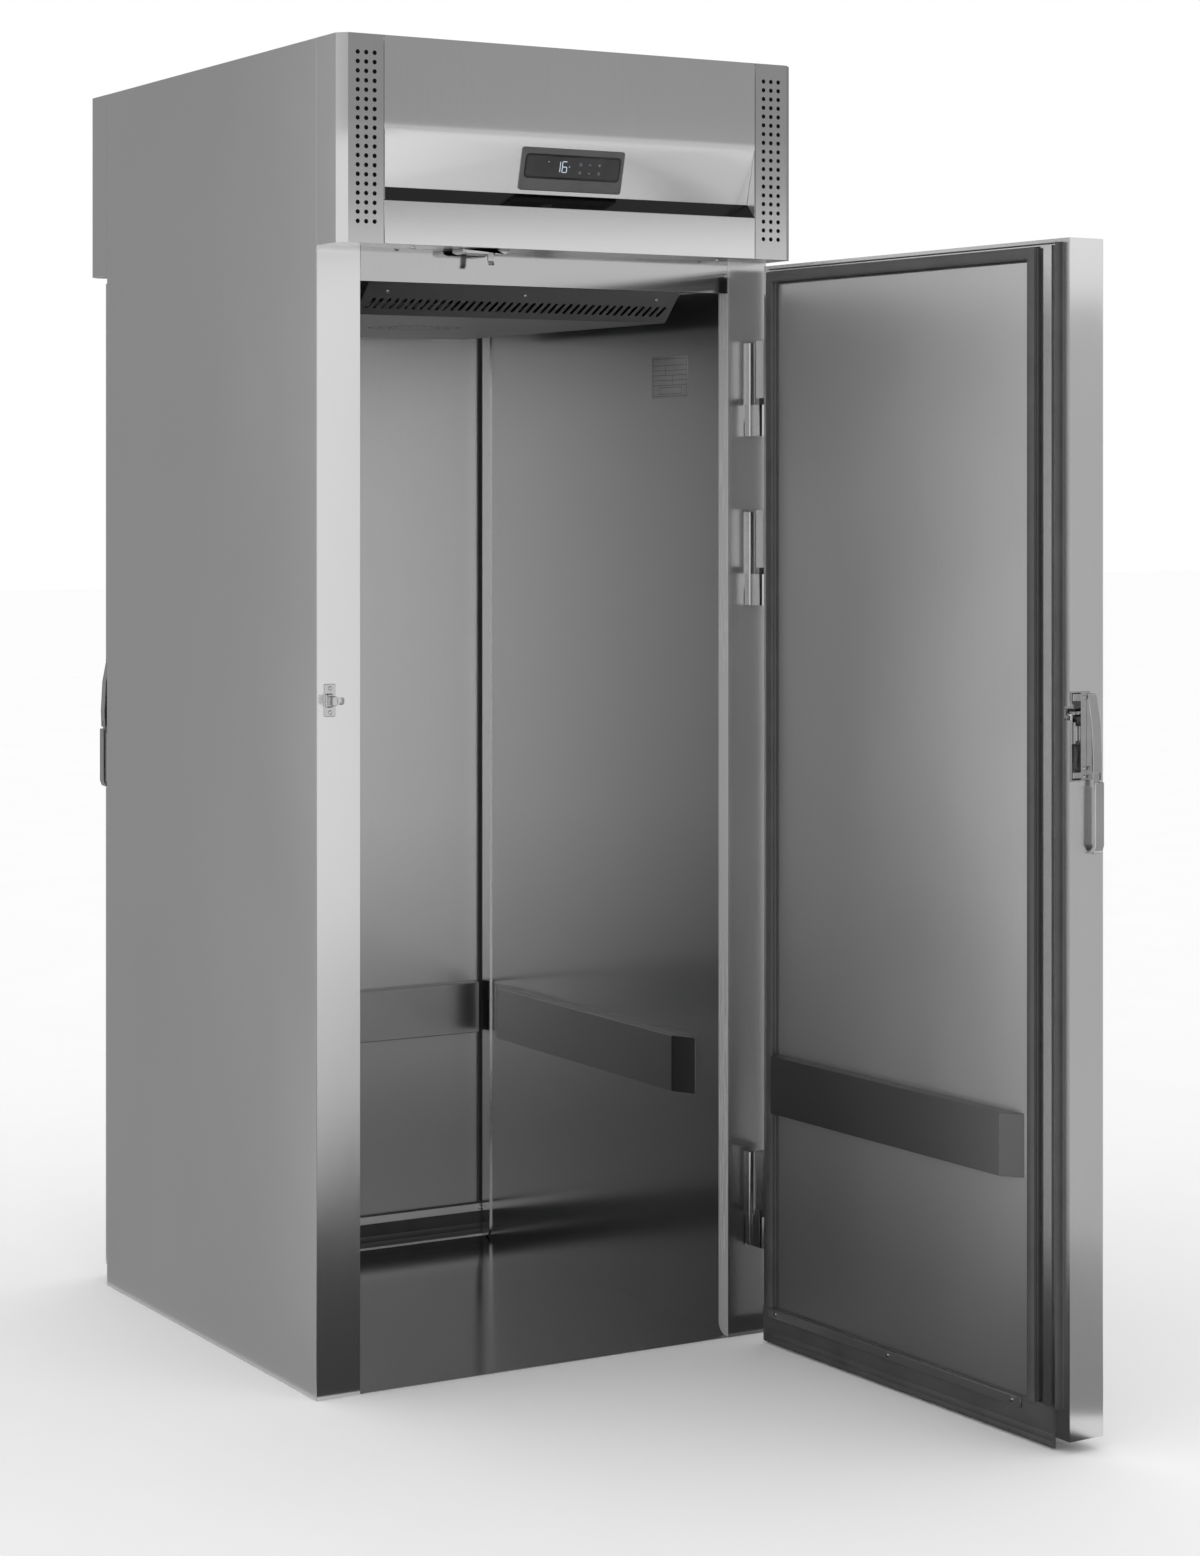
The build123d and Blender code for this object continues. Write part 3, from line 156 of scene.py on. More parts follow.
def painted_shade_foot(material, colour, share):
    """Painted shade: a colour that falls to a share of itself from knee height down to the foot."""
    place = add_node(material, "ShaderNodeTexCoord")
    parts = add_node(material, "ShaderNodeSeparateXYZ")
    wire(material, place.outputs["Object"], parts.inputs["Vector"])
    painted_shade = spread(material, parts.outputs["Z"], share, 1.0, FOOT_HEIGHT, KNEE_HEIGHT)
    scale = add_node(material, "ShaderNodeVectorMath", operation="SCALE")
    wire(material, colour, scale.inputs[0])
    wire(material, painted_shade, scale.inputs["Scale"])
    return scale.outputs["Vector"]


SLOW_PATCHES = (2.1, 2.3, 1.7)
STREAK_SHARE = 0.4
PATCH_SHARE = 0.6


def steel(name, colour, rough, grain, stretch=0.0, metallic=1.0, round_axis="Z", turn=0.0, foot=1.0):
    """Stainless sheet: fine brushed streaks along the grain, with slow patches in tone and gloss."""
    material, shader = new_material(name)
    shader.inputs["Metallic"].default_value = metallic
    if stretch:
        shader.inputs["Anisotropic"].default_value = stretch
        shader.inputs["Anisotropic Rotation"].default_value = turn
        across = add_node(material, "ShaderNodeTangent", direction_type="RADIAL", axis=round_axis)
        wire(material, across.outputs["Tangent"], shader.inputs["Tangent"])
    streaks = noise(material, grain, 4.0, 0.6)
    patches = noise(material, SLOW_PATCHES, 3.0, 0.5)
    tone = add_node(material, "ShaderNodeMath", operation="MULTIPLY_ADD")
    wire(material, spread(material, streaks, 0.0, 1.0), tone.inputs[0])
    tone.inputs[1].default_value = STREAK_SHARE
    wire(material, spread(material, patches, 0.0, PATCH_SHARE), tone.inputs[2])
    base = mixed(material, tone.outputs[0], tint(colour, 0.96), tint(colour, 1.04))
    # Where foot is below 1, painted shade darkens the base colour towards the bottom.
    if foot < 1.0:
        base = painted_shade_foot(material, base, foot)
    wire(material, base, shader.inputs["Base Color"])
    gloss = add_node(material, "ShaderNodeMath", operation="ADD")
    wire(material, spread(material, streaks, rough * 0.93, rough * 1.07), gloss.inputs[0])
    wire(material, spread(material, patches, -rough * 0.08, rough * 0.08), gloss.inputs[1])
    wire(material, gloss.outputs[0], shader.inputs["Roughness"])
    bump(material, shader, streaks, 0.025)
    return material


UPRIGHT = (900.0, 900.0, 9.0)
ACROSS = (9.0, 900.0, 900.0)


def cast(name, colour, rough):
    """Cast or plated metal: faint pitting and cloudy gloss."""
    material, shader = new_material(name)
    shader.inputs["Metallic"].default_value = 1.0
    pits = noise(material, (400, 400, 400), 2.0)
    clouds = noise(material, (14, 14, 14), 3.0)
    base = mixed(material, spread(material, clouds, 0, 1), tint(colour, 0.94), tint(colour, 1.05))
    wire(material, base, shader.inputs["Base Color"])
    wire(material, spread(material, clouds, rough * 0.85, rough * 1.15), shader.inputs["Roughness"])
    bump(material, shader, pits, 0.02)
    return material


def plastic(name, colour, rough, grain=900, depth=0.15):
    """Moulded plastic, rubber or paint: fine texture with slight dust and wear in the tone."""
    material, shader = new_material(name)
    fine = noise(material, (grain, grain, grain), 2.0)
    slow = noise(material, (18, 18, 18), 4.0)
    base = mixed(material, spread(material, slow, 0, 1), tint(colour, 0.85), tint(colour, 1.15))
    wire(material, base, shader.inputs["Base Color"])
    wire(material, spread(material, slow, rough * 0.85, rough * 1.15), shader.inputs["Roughness"])
    bump(material, shader, fine, depth)
    return material


def lit(name, colour, strength):
    """Glowing print behind the display's window, slightly uneven."""
    material, shader = new_material(name)
    clouds = spread(material, noise(material, (300, 300, 300)), 0, 1)
    glow = mixed(material, clouds, tint(colour, 0.9), colour)
    wire(material, glow, shader.inputs["Emission Color"])
    shader.inputs["Emission Strength"].default_value = strength
    shader.inputs["Base Color"].default_value = (0.02, 0.02, 0.02, 1)
    shader.inputs["Roughness"].default_value = 0.3
    return material


FINISH = {
    "satin_steel": steel("satin_steel", (0.67, 0.67, 0.672), 0.34, UPRIGHT, stretch=0.75),
    "bright_steel": steel("bright_steel", (0.70, 0.70, 0.702), 0.2, UPRIGHT, stretch=0.6),
    "cast_metal": cast("cast_metal", (0.50, 0.50, 0.50), 0.13),
    "zinc_steel": cast("zinc_steel", (0.50, 0.50, 0.51), 0.14),
    "grey_steel": steel("grey_steel", (0.23, 0.23, 0.235), 0.42, ACROSS),
    "black_enamel": plastic("black_enamel", (0.02, 0.02, 0.021), 0.35, 300, 0.1),
    "foam": plastic("foam", (0.78, 0.70, 0.48), 0.9, 500, 0.6),
    "seal_rubber": plastic("seal_rubber", (0.075, 0.075, 0.077), 0.42),
    "black_nylon": plastic("black_nylon", (0.02, 0.02, 0.02), 0.45),
    "black_plastic": plastic("black_plastic", (0.085, 0.085, 0.087), 0.38),
    "display_window": plastic("display_window", (0.012, 0.012, 0.014), 0.12, 900, 0.02),
    "pale_plastic": plastic("pale_plastic", (0.55, 0.55, 0.53), 0.4),
    "copper": cast("copper", (0.72, 0.36, 0.22), 0.25),
    "coil_aluminium": cast("coil_aluminium", (0.62, 0.63, 0.64), 0.35),
    "blank_label": plastic("blank_label", (0.30, 0.30, 0.30), 0.35),
}

# Door inner panels: steel with painted shade, darker towards the bottom.
PANEL_STEEL_FOOT_SHADE = steel("panel_steel_foot_shade", (0.73, 0.73, 0.732), 0.36, UPRIGHT, 0.3, metallic=0.88, foot=0.6)
MIRROR_STEEL = steel("mirror_steel", (0.45, 0.45, 0.452), 0.09, UPRIGHT, 0.2)
# Right post: steel with painted shade, falling to 0.3 of its tone towards the floor.
POST_STEEL_FOOT_SHADE = steel("post_steel_foot_shade", (0.62, 0.62, 0.622), 0.2, UPRIGHT, 0.3, metallic=0.85, foot=0.3)
# Painted highlight: a brighter, part-diffuse copy of the frame's steel for the jamb faces.
JAMB_HIGHLIGHT_STEEL = steel("jamb_highlight_steel", (0.82, 0.82, 0.822), 0.26, UPRIGHT, 0.3, metallic=0.4)
LINER_STEEL = steel("liner_steel", (0.56, 0.56, 0.562), 0.2, UPRIGHT, 0.6)
FLOOR_STEEL = steel("floor_steel", (0.34, 0.34, 0.342), 0.16, ACROSS)
RAIL_STEEL = steel("rail_steel", (0.44, 0.44, 0.442), 0.3, ACROSS)
# Painted shade: a darker copy of the rail steel for the open front door's rails.
DOOR_RAIL_SHADE_STEEL = steel("door_rail_shade_steel", (0.30, 0.30, 0.302), 0.34, ACROSS)
# Painted shade: a dark copy of the rail steel for the rails' front-facing ends.
RAIL_END_SHADE_STEEL = steel("rail_end_shade_steel", (0.13, 0.13, 0.132), 0.3, UPRIGHT)
FASCIA_STEEL = steel("fascia_steel", (0.78, 0.78, 0.782), 0.24, UPRIGHT, 0.6, round_axis="X", turn=0.25)
# Painted shade: a near-black copy of the fascia's steel for the return band under the slope.
BAND_SHADE_STEEL = steel("band_shade_steel", (0.06, 0.06, 0.062), 0.1, UPRIGHT)
# Painted shade: a near-black, nearly matte sheet standing in for the dark machine compartment behind the
# vent holes.
SHADE_SCREEN_MESH = plastic("shade_screen_mesh", (0.012, 0.012, 0.012), 0.9)
SHADE_SCREEN_MESH.node_tree.nodes["Principled BSDF"].inputs["Specular IOR Level"].default_value = 0.05
WINDOW_INSIDE = plastic("window_inside", (0.035, 0.035, 0.037), 0.2, 900, 0.02)
RULED_INK = plastic("ruled_ink", (0.05, 0.05, 0.05), 0.5)
LIT_DIGITS = lit("lit_digits", (0.72, 0.86, 1.0), 0.9)
LIT_SYMBOLS = lit("lit_symbols", (0.5, 0.55, 0.6), 0.45)


def dress_nodes():
    """Every carried-over CAD node takes the finish of its material slot."""
    for node in frame["nodes"].values():
        for place in node.material_slots:
            place.material = FINISH[place.material.name.split(".")[0]]


WELD = 0.00002
FLAT_WITHIN = math.radians(0.6)


def merged_shape(node):
    """A bmesh of a CAD node with split corners joined and flat faces merged."""
    source = frame["nodes"][node].data
    plain = bpy.data.meshes.new(node + "_shape")
    plain.from_pydata([v.co for v in source.vertices], [], [tuple(p.vertices) for p in source.polygons])
    shape = bmesh.new()
    shape.from_mesh(plain)
    bpy.data.meshes.remove(plain)
    bmesh.ops.remove_doubles(shape, verts=shape.verts, dist=WELD)
    bmesh.ops.dissolve_limit(shape, angle_limit=FLAT_WITHIN, verts=shape.verts, edges=shape.edges)
    return shape


def room_beside(edge):
    """How far the narrower face on either side reaches away from the edge."""
    start = edge.verts[0].co
    direction = (edge.verts[1].co - start).normalized()
    reaches = []
    for face in edge.link_faces:
        inward = face.normal.cross(direction)
        offsets = [abs((v.co - start).dot(inward)) for v in face.verts]
        reaches.append(max(offsets))
    return min(reaches)


SHARP = math.radians(25)
LONG_EDGE = 0.005
NARROW_FACE = 0.0008
ROOM_SHARE = 0.35


def weigh_edges(shape, width):
    """Marks the long sharp edges for rounding, less where a face beside them is narrow."""
    weight = shape.edges.layers.float.new("bevel_weight_edge")
    for edge in shape.edges:
        if len(edge.link_faces) != 2:
            continue
        if edge.calc_face_angle(0) < SHARP:
            continue
        room = room_beside(edge)
        if edge.calc_length() > LONG_EDGE and room > NARROW_FACE:
            edge[weight] = min(1.0, ROOM_SHARE * room / width)
        else:
            edge.smooth = False


FOLD_WIDTH = 1.8
CAST_WIDTH = 1.2


def softened(node, width=FOLD_WIDTH):
    """A copy of a CAD node with folded or rounded edges, which stands for it."""
    source = frame["nodes"][node]
    shape = merged_shape(node)
    weigh_edges(shape, width * MM)
    for face in shape.faces:
        face.smooth = True
    mesh = bpy.data.meshes.new(node + "_soft")
    shape.to_mesh(mesh)
    shape.free()
    for place in source.material_slots:
        mesh.materials.append(place.material)
    piece = bpy.data.objects.new(node + "_soft", mesh)
    bpy.context.scene.collection.objects.link(piece)
    round_off = piece.modifiers.new("edges", "BEVEL")
    round_off.width = width * MM
    round_off.segments = 3
    round_off.limit_method = "WEIGHT"
    level = piece.modifiers.new("flat_faces", "WEIGHTED_NORMAL")
    level.keep_sharp = True
    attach(piece, source["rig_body"])
    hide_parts(node)
    return piece


def refinish(piece, finish, wanted=None):
    """Gives another finish to all faces, or to those that a test picks."""
    piece.data.materials.append(finish)
    for face in piece.data.polygons:
        if wanted is None or wanted(face):
            face.material_index = len(piece.data.materials) - 1


SHEETS = ["left_side_panel", "right_side_panel", "rear_frame", "rear_header_fascia", "header_underplates",
          "machine_deck"]
CASTINGS = ["front_door_hinge_halves", "rear_door_hinge_halves", "hinge_frame_halves", "front_lock_case",
            "rear_lock_case", "front_handle_body", "rear_handle_body", "front_handle_grip",
            "rear_handle_grip", "front_latch_bolt", "rear_latch_bolt", "door_switches",
            "front_switch_lever", "rear_switch_lever", "control_box", "drain_tray"]
SWEEP_STRIP_TOP = 0.2
LINTEL_END = 0.35
RIGHT_STILE_START = 0.358


def is_rail(face):
    """True above the strip that clamps a door's sweep."""
    return face.center.z > SWEEP_STRIP_TOP


def faces_front(face):
    return face.normal.y < -0.45


def is_jamb(face):
    """True for the front frame's faces that look across the opening from the right."""
    return face.center.x > 0.3 and face.normal.x < -0.5


def is_band(face):
    """True for the narrow face that turns out again below the fascia's slope."""
    return face.normal.z > 0.3 and face.normal.y < -0.05


def soften_parts():
    for node in SHEETS:
        softened(node)
    for node in CASTINGS:
        softened(node, CAST_WIDTH)
    for node, finish in (("front_door_inner_panel", PANEL_STEEL_FOOT_SHADE), ("rear_door_inner_panel", PANEL_STEEL_FOOT_SHADE),
                         ("wall_liners", LINER_STEEL), ("floor_plate", FLOOR_STEEL)):
        refinish(softened(node), finish)
    rails = softened("wall_rails")
    refinish(rails, RAIL_STEEL)
    # Front-facing rail ends get the painted shade.
    refinish(rails, RAIL_END_SHADE_STEEL, faces_front)
    rails = softened("front_door_rails")
    # The front door's rails take the painted shade; the rear door's keep the plain rail steel.
    refinish(rails, DOOR_RAIL_SHADE_STEEL, is_rail)
    refinish(rails, RAIL_END_SHADE_STEEL, lambda face: is_rail(face) and faces_front(face))
    refinish(softened("rear_door_rails"), RAIL_STEEL, is_rail)
    refinish(softened("front_door_shell"), FINISH["bright_steel"], lambda face: face.normal.x < -0.8)
    refinish(softened("rear_door_shell"), FINISH["bright_steel"], lambda face: face.normal.y < -0.8)
    frame_piece = softened("front_frame")
    refinish(frame_piece, MIRROR_STEEL, lambda face: abs(face.center.x) < LINTEL_END)
    refinish(frame_piece, POST_STEEL_FOOT_SHADE, lambda face: face.center.x > RIGHT_STILE_START)
    # The jamb faces take the painted highlight.
    refinish(frame_piece, JAMB_HIGHLIGHT_STEEL, is_jamb)
    fascia = softened("front_header_fascia")
    refinish(fascia, FASCIA_STEEL)
    # The return band below the slope takes the painted shade.
    refinish(fascia, BAND_SHADE_STEEL, is_band)


def skin(shape, rings, capped=True):
    """Faces between successive rings of points, which all have the same count."""
    rows = [[shape.verts.new(point) for point in ring] for ring in rings]
    count = len(rows[0])
    for near, far in zip(rows, rows[1:]):
        for index in range(count):
            after = (index + 1) % count
            shape.faces.new((near[index], near[after], far[after], far[index]))
    if capped:
        shape.faces.new(list(reversed(rows[0])))
        shape.faces.new(rows[-1])


SAME_POINT = 0.000001
CREASE = math.radians(38)


def new_piece(name, shape, body, slot, finish=None, stands_for=None):
    """Turns a drawn shape into a piece that rides on a body and may stand for a CAD node."""
    bmesh.ops.remove_doubles(shape, verts=shape.verts, dist=SAME_POINT)
    bmesh.ops.recalc_face_normals(shape, faces=shape.faces)
    for edge in shape.edges:
        edge.smooth = len(edge.link_faces) == 2 and edge.calc_face_angle(0) < CREASE
    for face in shape.faces:
        face.smooth = True
    mesh = bpy.data.meshes.new(name)
    shape.to_mesh(mesh)
    shape.free()
    mesh.materials.append(finish or FINISH[slot])
    piece = bpy.data.objects.new(name, mesh)
    bpy.context.scene.collection.objects.link(piece)
    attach(piece, body)
    if stands_for:
        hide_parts(stands_for)


HINGE_LINE = Vector((0.420, -0.490, 0.0))
DOOR_OPEN = 92.5
SWING = Matrix.Rotation(math.radians(DOOR_OPEN), 4, "Z")
OPENING = Matrix.Translation(HINGE_LINE) @ SWING @ Matrix.Translation(-HINGE_LINE)
MIRRORED = Matrix.Scale(-1, 4, (0, 1, 0))
DOORS = {"front": OPENING, "rear": MIRRORED}

SEAL_HALF = [(-10.2, 0), (-10.2, 2), (-7.5, 3), (-6.2, 6), (-7.8, 8.5), (-6.2, 11), (-8.2, 13),
             (-9.0, 15.5), (-8.6, 18.6), (-7.0, 19.5)]
SEAL_ROOT = -475.9
LIP = [(-395.5, -469), (-385, -469), (-385.6, -467.6), (-389, -467.2), (-388.8, -463), (-389.3, -459.5),
       (-389.9, -456.4), (-391.1, -456.4), (-391.5, -459.5), (-391.5, -463), (-391.5, -467.2),
       (-394.9, -467.6)]
LIP_ENDS = (68.5, 1879)
TOP_LIP = [(-469, 1877), (-464.4, 1877.5), (-464, 1878.2), (-464.4, 1879), (-469, 1879.5)]
TOP_LIP_ENDS = (-391.5, 380)
SWEEP = [(-469, 68), (-469, 3), (-467, 3), (-464, 6), (-464, 12), (-464.8, 13.5), (-464, 15), (-464, 24),
         (-464.8, 25.5), (-464, 27), (-464, 68)]
SWEEP_ENDS = (-377, 395)


def point_mm(x, y, z):
    return Vector((x, y, z)) * MM


def seal_shape():
    """Folded bellows on three sides of the inner panel with mitred corners, and the lips beside it."""
    shape = bmesh.new()
    section = SEAL_HALF + [(-u, v) for u, v in reversed(SEAL_HALF)]
    right, top, left, foot = 369.5, 1864.5, -330.5, 68.3
    skin(shape, [[point_mm(right + u, SEAL_ROOT + v, foot) for u, v in section],
                 [point_mm(right + u, SEAL_ROOT + v, top + u) for u, v in section],
                 [point_mm(left - u, SEAL_ROOT + v, top + u) for u, v in section],
                 [point_mm(left - u, SEAL_ROOT + v, foot) for u, v in section]])
    skin(shape, [[point_mm(x, y, z) for x, y in LIP] for z in LIP_ENDS])
    skin(shape, [[point_mm(x, y, z) for y, z in TOP_LIP] for x in TOP_LIP_ENDS])
    return shape


def sweep_shape():
    """Ribbed rubber strip at the door's foot."""
    shape = bmesh.new()
    skin(shape, [[point_mm(x, y, z) for y, z in SWEEP] for x in SWEEP_ENDS])
    return shape


def make_rubber():
    for door, place in DOORS.items():
        for node, draw in (("door_seals", seal_shape), ("door_sweep", sweep_shape)):
            shape = draw()
            shape.transform(place)
            new_piece(door + "_" + node + "_rubber", shape, door + "_door", "seal_rubber",
                      stands_for=door + "_" + node)


CORNER_STEPS = 5


def rounded(width, height, radius, rise=0.0):
    """Points round a rectangle with rounded corners, its middle raised by rise."""
    points = []
    for across, up, start in ((1, 1, 0), (-1, 1, 90), (-1, -1, 180), (1, -1, 270)):
        for step in range(CORNER_STEPS + 1):
            turn = math.radians(start + 90 * step / CORNER_STEPS)
            points.append((across * (width / 2 - radius) + radius * math.cos(turn),
                           up * (height / 2 - radius) + radius * math.sin(turn) + rise))
    return points


SLOPE_MIDDLE = Vector((0, -530.39, 2032.0))
SLOPE_UP = Vector((0, -0.25096, 0.968))
SLOPE_OUT = Vector((0, -0.968, -0.25096))
WINDOW_RISE = 5.0
PLATE_MIDDLE = (363.0, -255.5, 1697.0)


def on_slope(u, v, w):
    """Point on the header's sloping face: u to the right, v up it and w out of it, in millimetres."""
    return (SLOPE_MIDDLE + Vector((u, 0, 0)) + SLOPE_UP * v + SLOPE_OUT * w) * MM


def on_wall(u, v, w):
    """Point on the right wall at the data plate: u to the rear, v up and w into the chamber."""
    return point_mm(PLATE_MIDDLE[0] - w, PLATE_MIDDLE[1] + u, PLATE_MIDDLE[2] + v)


def stack(shape, place, levels, capped=True):
    """Skin over outlines that lie at successive heights above a surface."""
    skin(shape, [[place(u, v, w) for u, v in outline] for outline, w in levels], capped)


def make_controller():
    """Bezel with rounded corners, and the window with its black rim and grey inside."""
    outer = rounded(198, 73, 5)
    hole = rounded(185.5, 41.5, 7.5, WINDOW_RISE)
    outer_rim = rounded(195, 70, 4)
    hole_rim = rounded(187.5, 43.5, 8.5, WINDOW_RISE)
    shape = bmesh.new()
    levels = [(outer, 0.0), (outer, 2.4), (outer_rim, 4.0), (hole_rim, 4.0), (hole, 3.0), (hole, 0.0),
              (outer, 0.0)]
    stack(shape, on_slope, levels, capped=False)
    new_piece("bezel_frame", shape, "cabinet", "black_plastic", stands_for="controller_bezel")
    glass = rounded(184.9, 40.9, 7.2, WINDOW_RISE)
    glass_top = rounded(184.2, 40.2, 7, WINDOW_RISE)
    body = rounded(150, 31, 2, WINDOW_RISE)
    body_end = rounded(148, 29, 2, WINDOW_RISE)
    shape = bmesh.new()
    stack(shape, on_slope, [(glass, 0.0), (glass, 2.6), (glass_top, 3.0)])
    stack(shape, on_slope, [(body_end, -45.0), (body, -44.0), (body, -0.05)])
    new_piece("window_glass", shape, "cabinet", "display_window", stands_for="controller")
    inside = rounded(178, 34.5, 4.5, WINDOW_RISE + 0.3)
    shape = bmesh.new()
    stack(shape, on_slope, [(inside, 2.9), (inside, 3.02)])
    new_piece("window_inside", shape, "cabinet", "display_window", WINDOW_INSIDE)


STROKE_TIP = 0.45
GLOW_LEVELS = (2.95, 3.1)
RULE_LEVELS = (0.45, 0.56)


def strokes(shape, place, lines, width, levels):
    """Short raised bars between pairs of points, like printed strokes."""
    for (u0, v0), (u1, v1) in lines:
        along = Vector((u1 - u0, v1 - v0)).normalized() * width / 2
        side = Vector((-along.y, along.x))
        outline = [(u0 - along.x * STROKE_TIP + side.x, v0 - along.y * STROKE_TIP + side.y),
                   (u0 - along.x, v0 - along.y),
                   (u0 - along.x * STROKE_TIP - side.x, v0 - along.y * STROKE_TIP - side.y),
                   (u1 + along.x * STROKE_TIP - side.x, v1 + along.y * STROKE_TIP - side.y),
                   (u1 + along.x, v1 + along.y),
                   (u1 + along.x * STROKE_TIP + side.x, v1 + along.y * STROKE_TIP + side.y)]
        stack(shape, place, [(outline, w) for w in levels])


def ring_lines(u, v, radius, count, share=1.0):
    """Strokes round a circle, leaving the top open when share is below 1."""
    points = []
    for step in range(count + 1):
        turn = math.radians(90 + 180 * (1 - share) + 360 * share * step / count)
        points.append((u + radius * math.cos(turn), v + radius * math.sin(turn)))
    return list(zip(points, points[1:]))


def make_display():
    """Lit digits with a degree mark, the status dot and plain key symbols."""
    u0, u1, v0, v1 = -20.6, -11.9, -3.3, 14.9
    one_u = -24.8
    middle = (v0 + v1) / 2
    gap = 0.9
    six = [((u0 + gap, v1), (u1 - gap, v1)), ((u0, v1 - gap), (u0, middle + gap)),
           ((u0 + gap, middle), (u1 - gap, middle)), ((u0, middle - gap), (u0, v0 + gap)),
           ((u0 + gap, v0), (u1 - gap, v0)), ((u1, middle - gap), (u1, v0 + gap))]
    one = [((one_u, v1 - gap), (one_u, middle + gap)), ((one_u, middle - gap), (one_u, v0 + gap))]
    marks = ring_lines(-7.0, 6.3, 0.8, 8) + ring_lines(-47.5, 13.5, 0.5, 8)
    digits = bmesh.new()
    strokes(digits, on_slope, six + one, 1.3, GLOW_LEVELS)
    strokes(digits, on_slope, marks, 0.5, GLOW_LEVELS)
    new_piece("display_digits", digits, "cabinet", "display_window", LIT_DIGITS)
    left, centre, right = 14.4, 32.7, 51.2
    high, low = 11.3, -2.7
    lines = ring_lines(left, high, 2.2, 12, 0.85) + [((left, high + 0.6), (left, high + 2.8))]
    for side in (-1, 1):
        lines.append(((centre + 2.4 * side, high - 1.2), (centre, high + 1.5)))
        lines.append(((centre + 2.4 * side, low + 1.2), (centre, low - 1.5)))
    for turn in (0, 60, 120):
        reach = (2.5 * math.cos(math.radians(turn)), 2.5 * math.sin(math.radians(turn)))
        lines.append(((right - reach[0], high - reach[1]), (right + reach[0], high + reach[1])))
    lines += ring_lines(right, low + 0.5, 1.7, 12) + [((right - 0.8, low - 2.2), (right + 0.8, low - 2.2))]
    for step in (-1.6, 0.0, 1.6):
        lines.append(((left - 2.2, low + step), (left + 2.2, low + step)))
    symbols = bmesh.new()
    strokes(symbols, on_slope, lines, 0.55, GLOW_LEVELS)
    new_piece("display_symbols", symbols, "cabinet", "display_window", LIT_SYMBOLS)


def make_data_plate():
    """Plate on the right wall, ruled into bare fields."""
    sheet = rounded(125, 76, 2)
    shape = bmesh.new()
    stack(shape, on_wall, [(sheet, 0.0), (sheet, 0.35), (rounded(124.4, 75.4, 2), 0.5)])
    new_piece("plate_blank", shape, "cabinet", "blank_label", stands_for="data_plate")
    lines = []
    for height in (34, 22, 13, 4, -5, -14, -34):
        lines.append(((-58, height), (58, height)))
    for across, top, foot in ((-58, 34, -34), (58, 34, -34), (14, 22, 4), (-10, 4, -14)):
        lines.append(((across, top), (across, foot)))
    for across in (-40, 36):
        lines.append(((across, -18), (across, -30)))
    for height in (-18, -30):
        lines.append(((-40, height), (36, height)))
    rules = bmesh.new()
    strokes(rules, on_wall, lines, 0.7, RULE_LEVELS)
    new_piece("plate_rules", rules, "cabinet", "blank_label", RULED_INK)


CHAMFER = 0.6


def chamfered(shape, x, y, z):
    """Block with rounded upright edges and chamfered ends, between values in millimetres."""
    middle = (sum(x) / 2, sum(y) / 2)
    full = rounded(x[1] - x[0], y[1] - y[0], CHAMFER * 1.5)
    small = rounded(x[1] - x[0] - 2 * CHAMFER, y[1] - y[0] - 2 * CHAMFER, CHAMFER)
    levels = ((small, z[0]), (full, z[0] + CHAMFER), (full, z[1] - CHAMFER), (small, z[1]))
    skin(shape, [[point_mm(middle[0] + u, middle[1] + v, height) for u, v in outline]
                 for outline, height in levels])


def polygon(radius, sides):
    points = []
    for side in range(sides):
        turn = math.radians(360 * side / sides)
        points.append((radius * math.cos(turn), radius * math.sin(turn)))
    return points


SPRING_STEPS = 16


def coil_spring(shape, x, y, z, radius, wire_radius, turns):
    """Open spring wound round an upright line."""
    rings = []
    steps = turns * SPRING_STEPS
    for step in range(steps + 1):
        turn = 2 * math.pi * step / SPRING_STEPS
        height = z[0] + (z[1] - z[0]) * step / steps
        ring = []
        for u, v in polygon(wire_radius, 6):
            reach = radius + u
            ring.append(point_mm(x + reach * math.cos(turn), y + reach * math.sin(turn), height + v))
        rings.append(ring)
    skin(shape, rings)


def lock_works_shape():
    """What shows in the front door's lock slot: end blocks, tie bars, follower and spring, drawn closed."""
    shape = bmesh.new()
    for height in ((1166, 1178), (1046, 1056)):
        chamfered(shape, (-406.5, -396), (-491, -478.2), height)
    chamfered(shape, (-407, -403), (-484, -479.5), (1100, 1134))
    chamfered(shape, (-405, -399), (-490, -485.5), (1104, 1128))
    full = polygon(6.0, 12)
    small = polygon(4.8, 12)
    levels = ((small, -490.5), (full, -489.5), (full, -479.5), (small, -478.5))
    stack(shape, lambda u, v, w: point_mm(-394.3 + u, w, 1147 + v), levels)
    coil_spring(shape, -402.5, -485, (1062, 1096), 3.8, 0.8, 9)
    return shape


STRIKE_Z = 1148
STILE_FACE_Y = -456


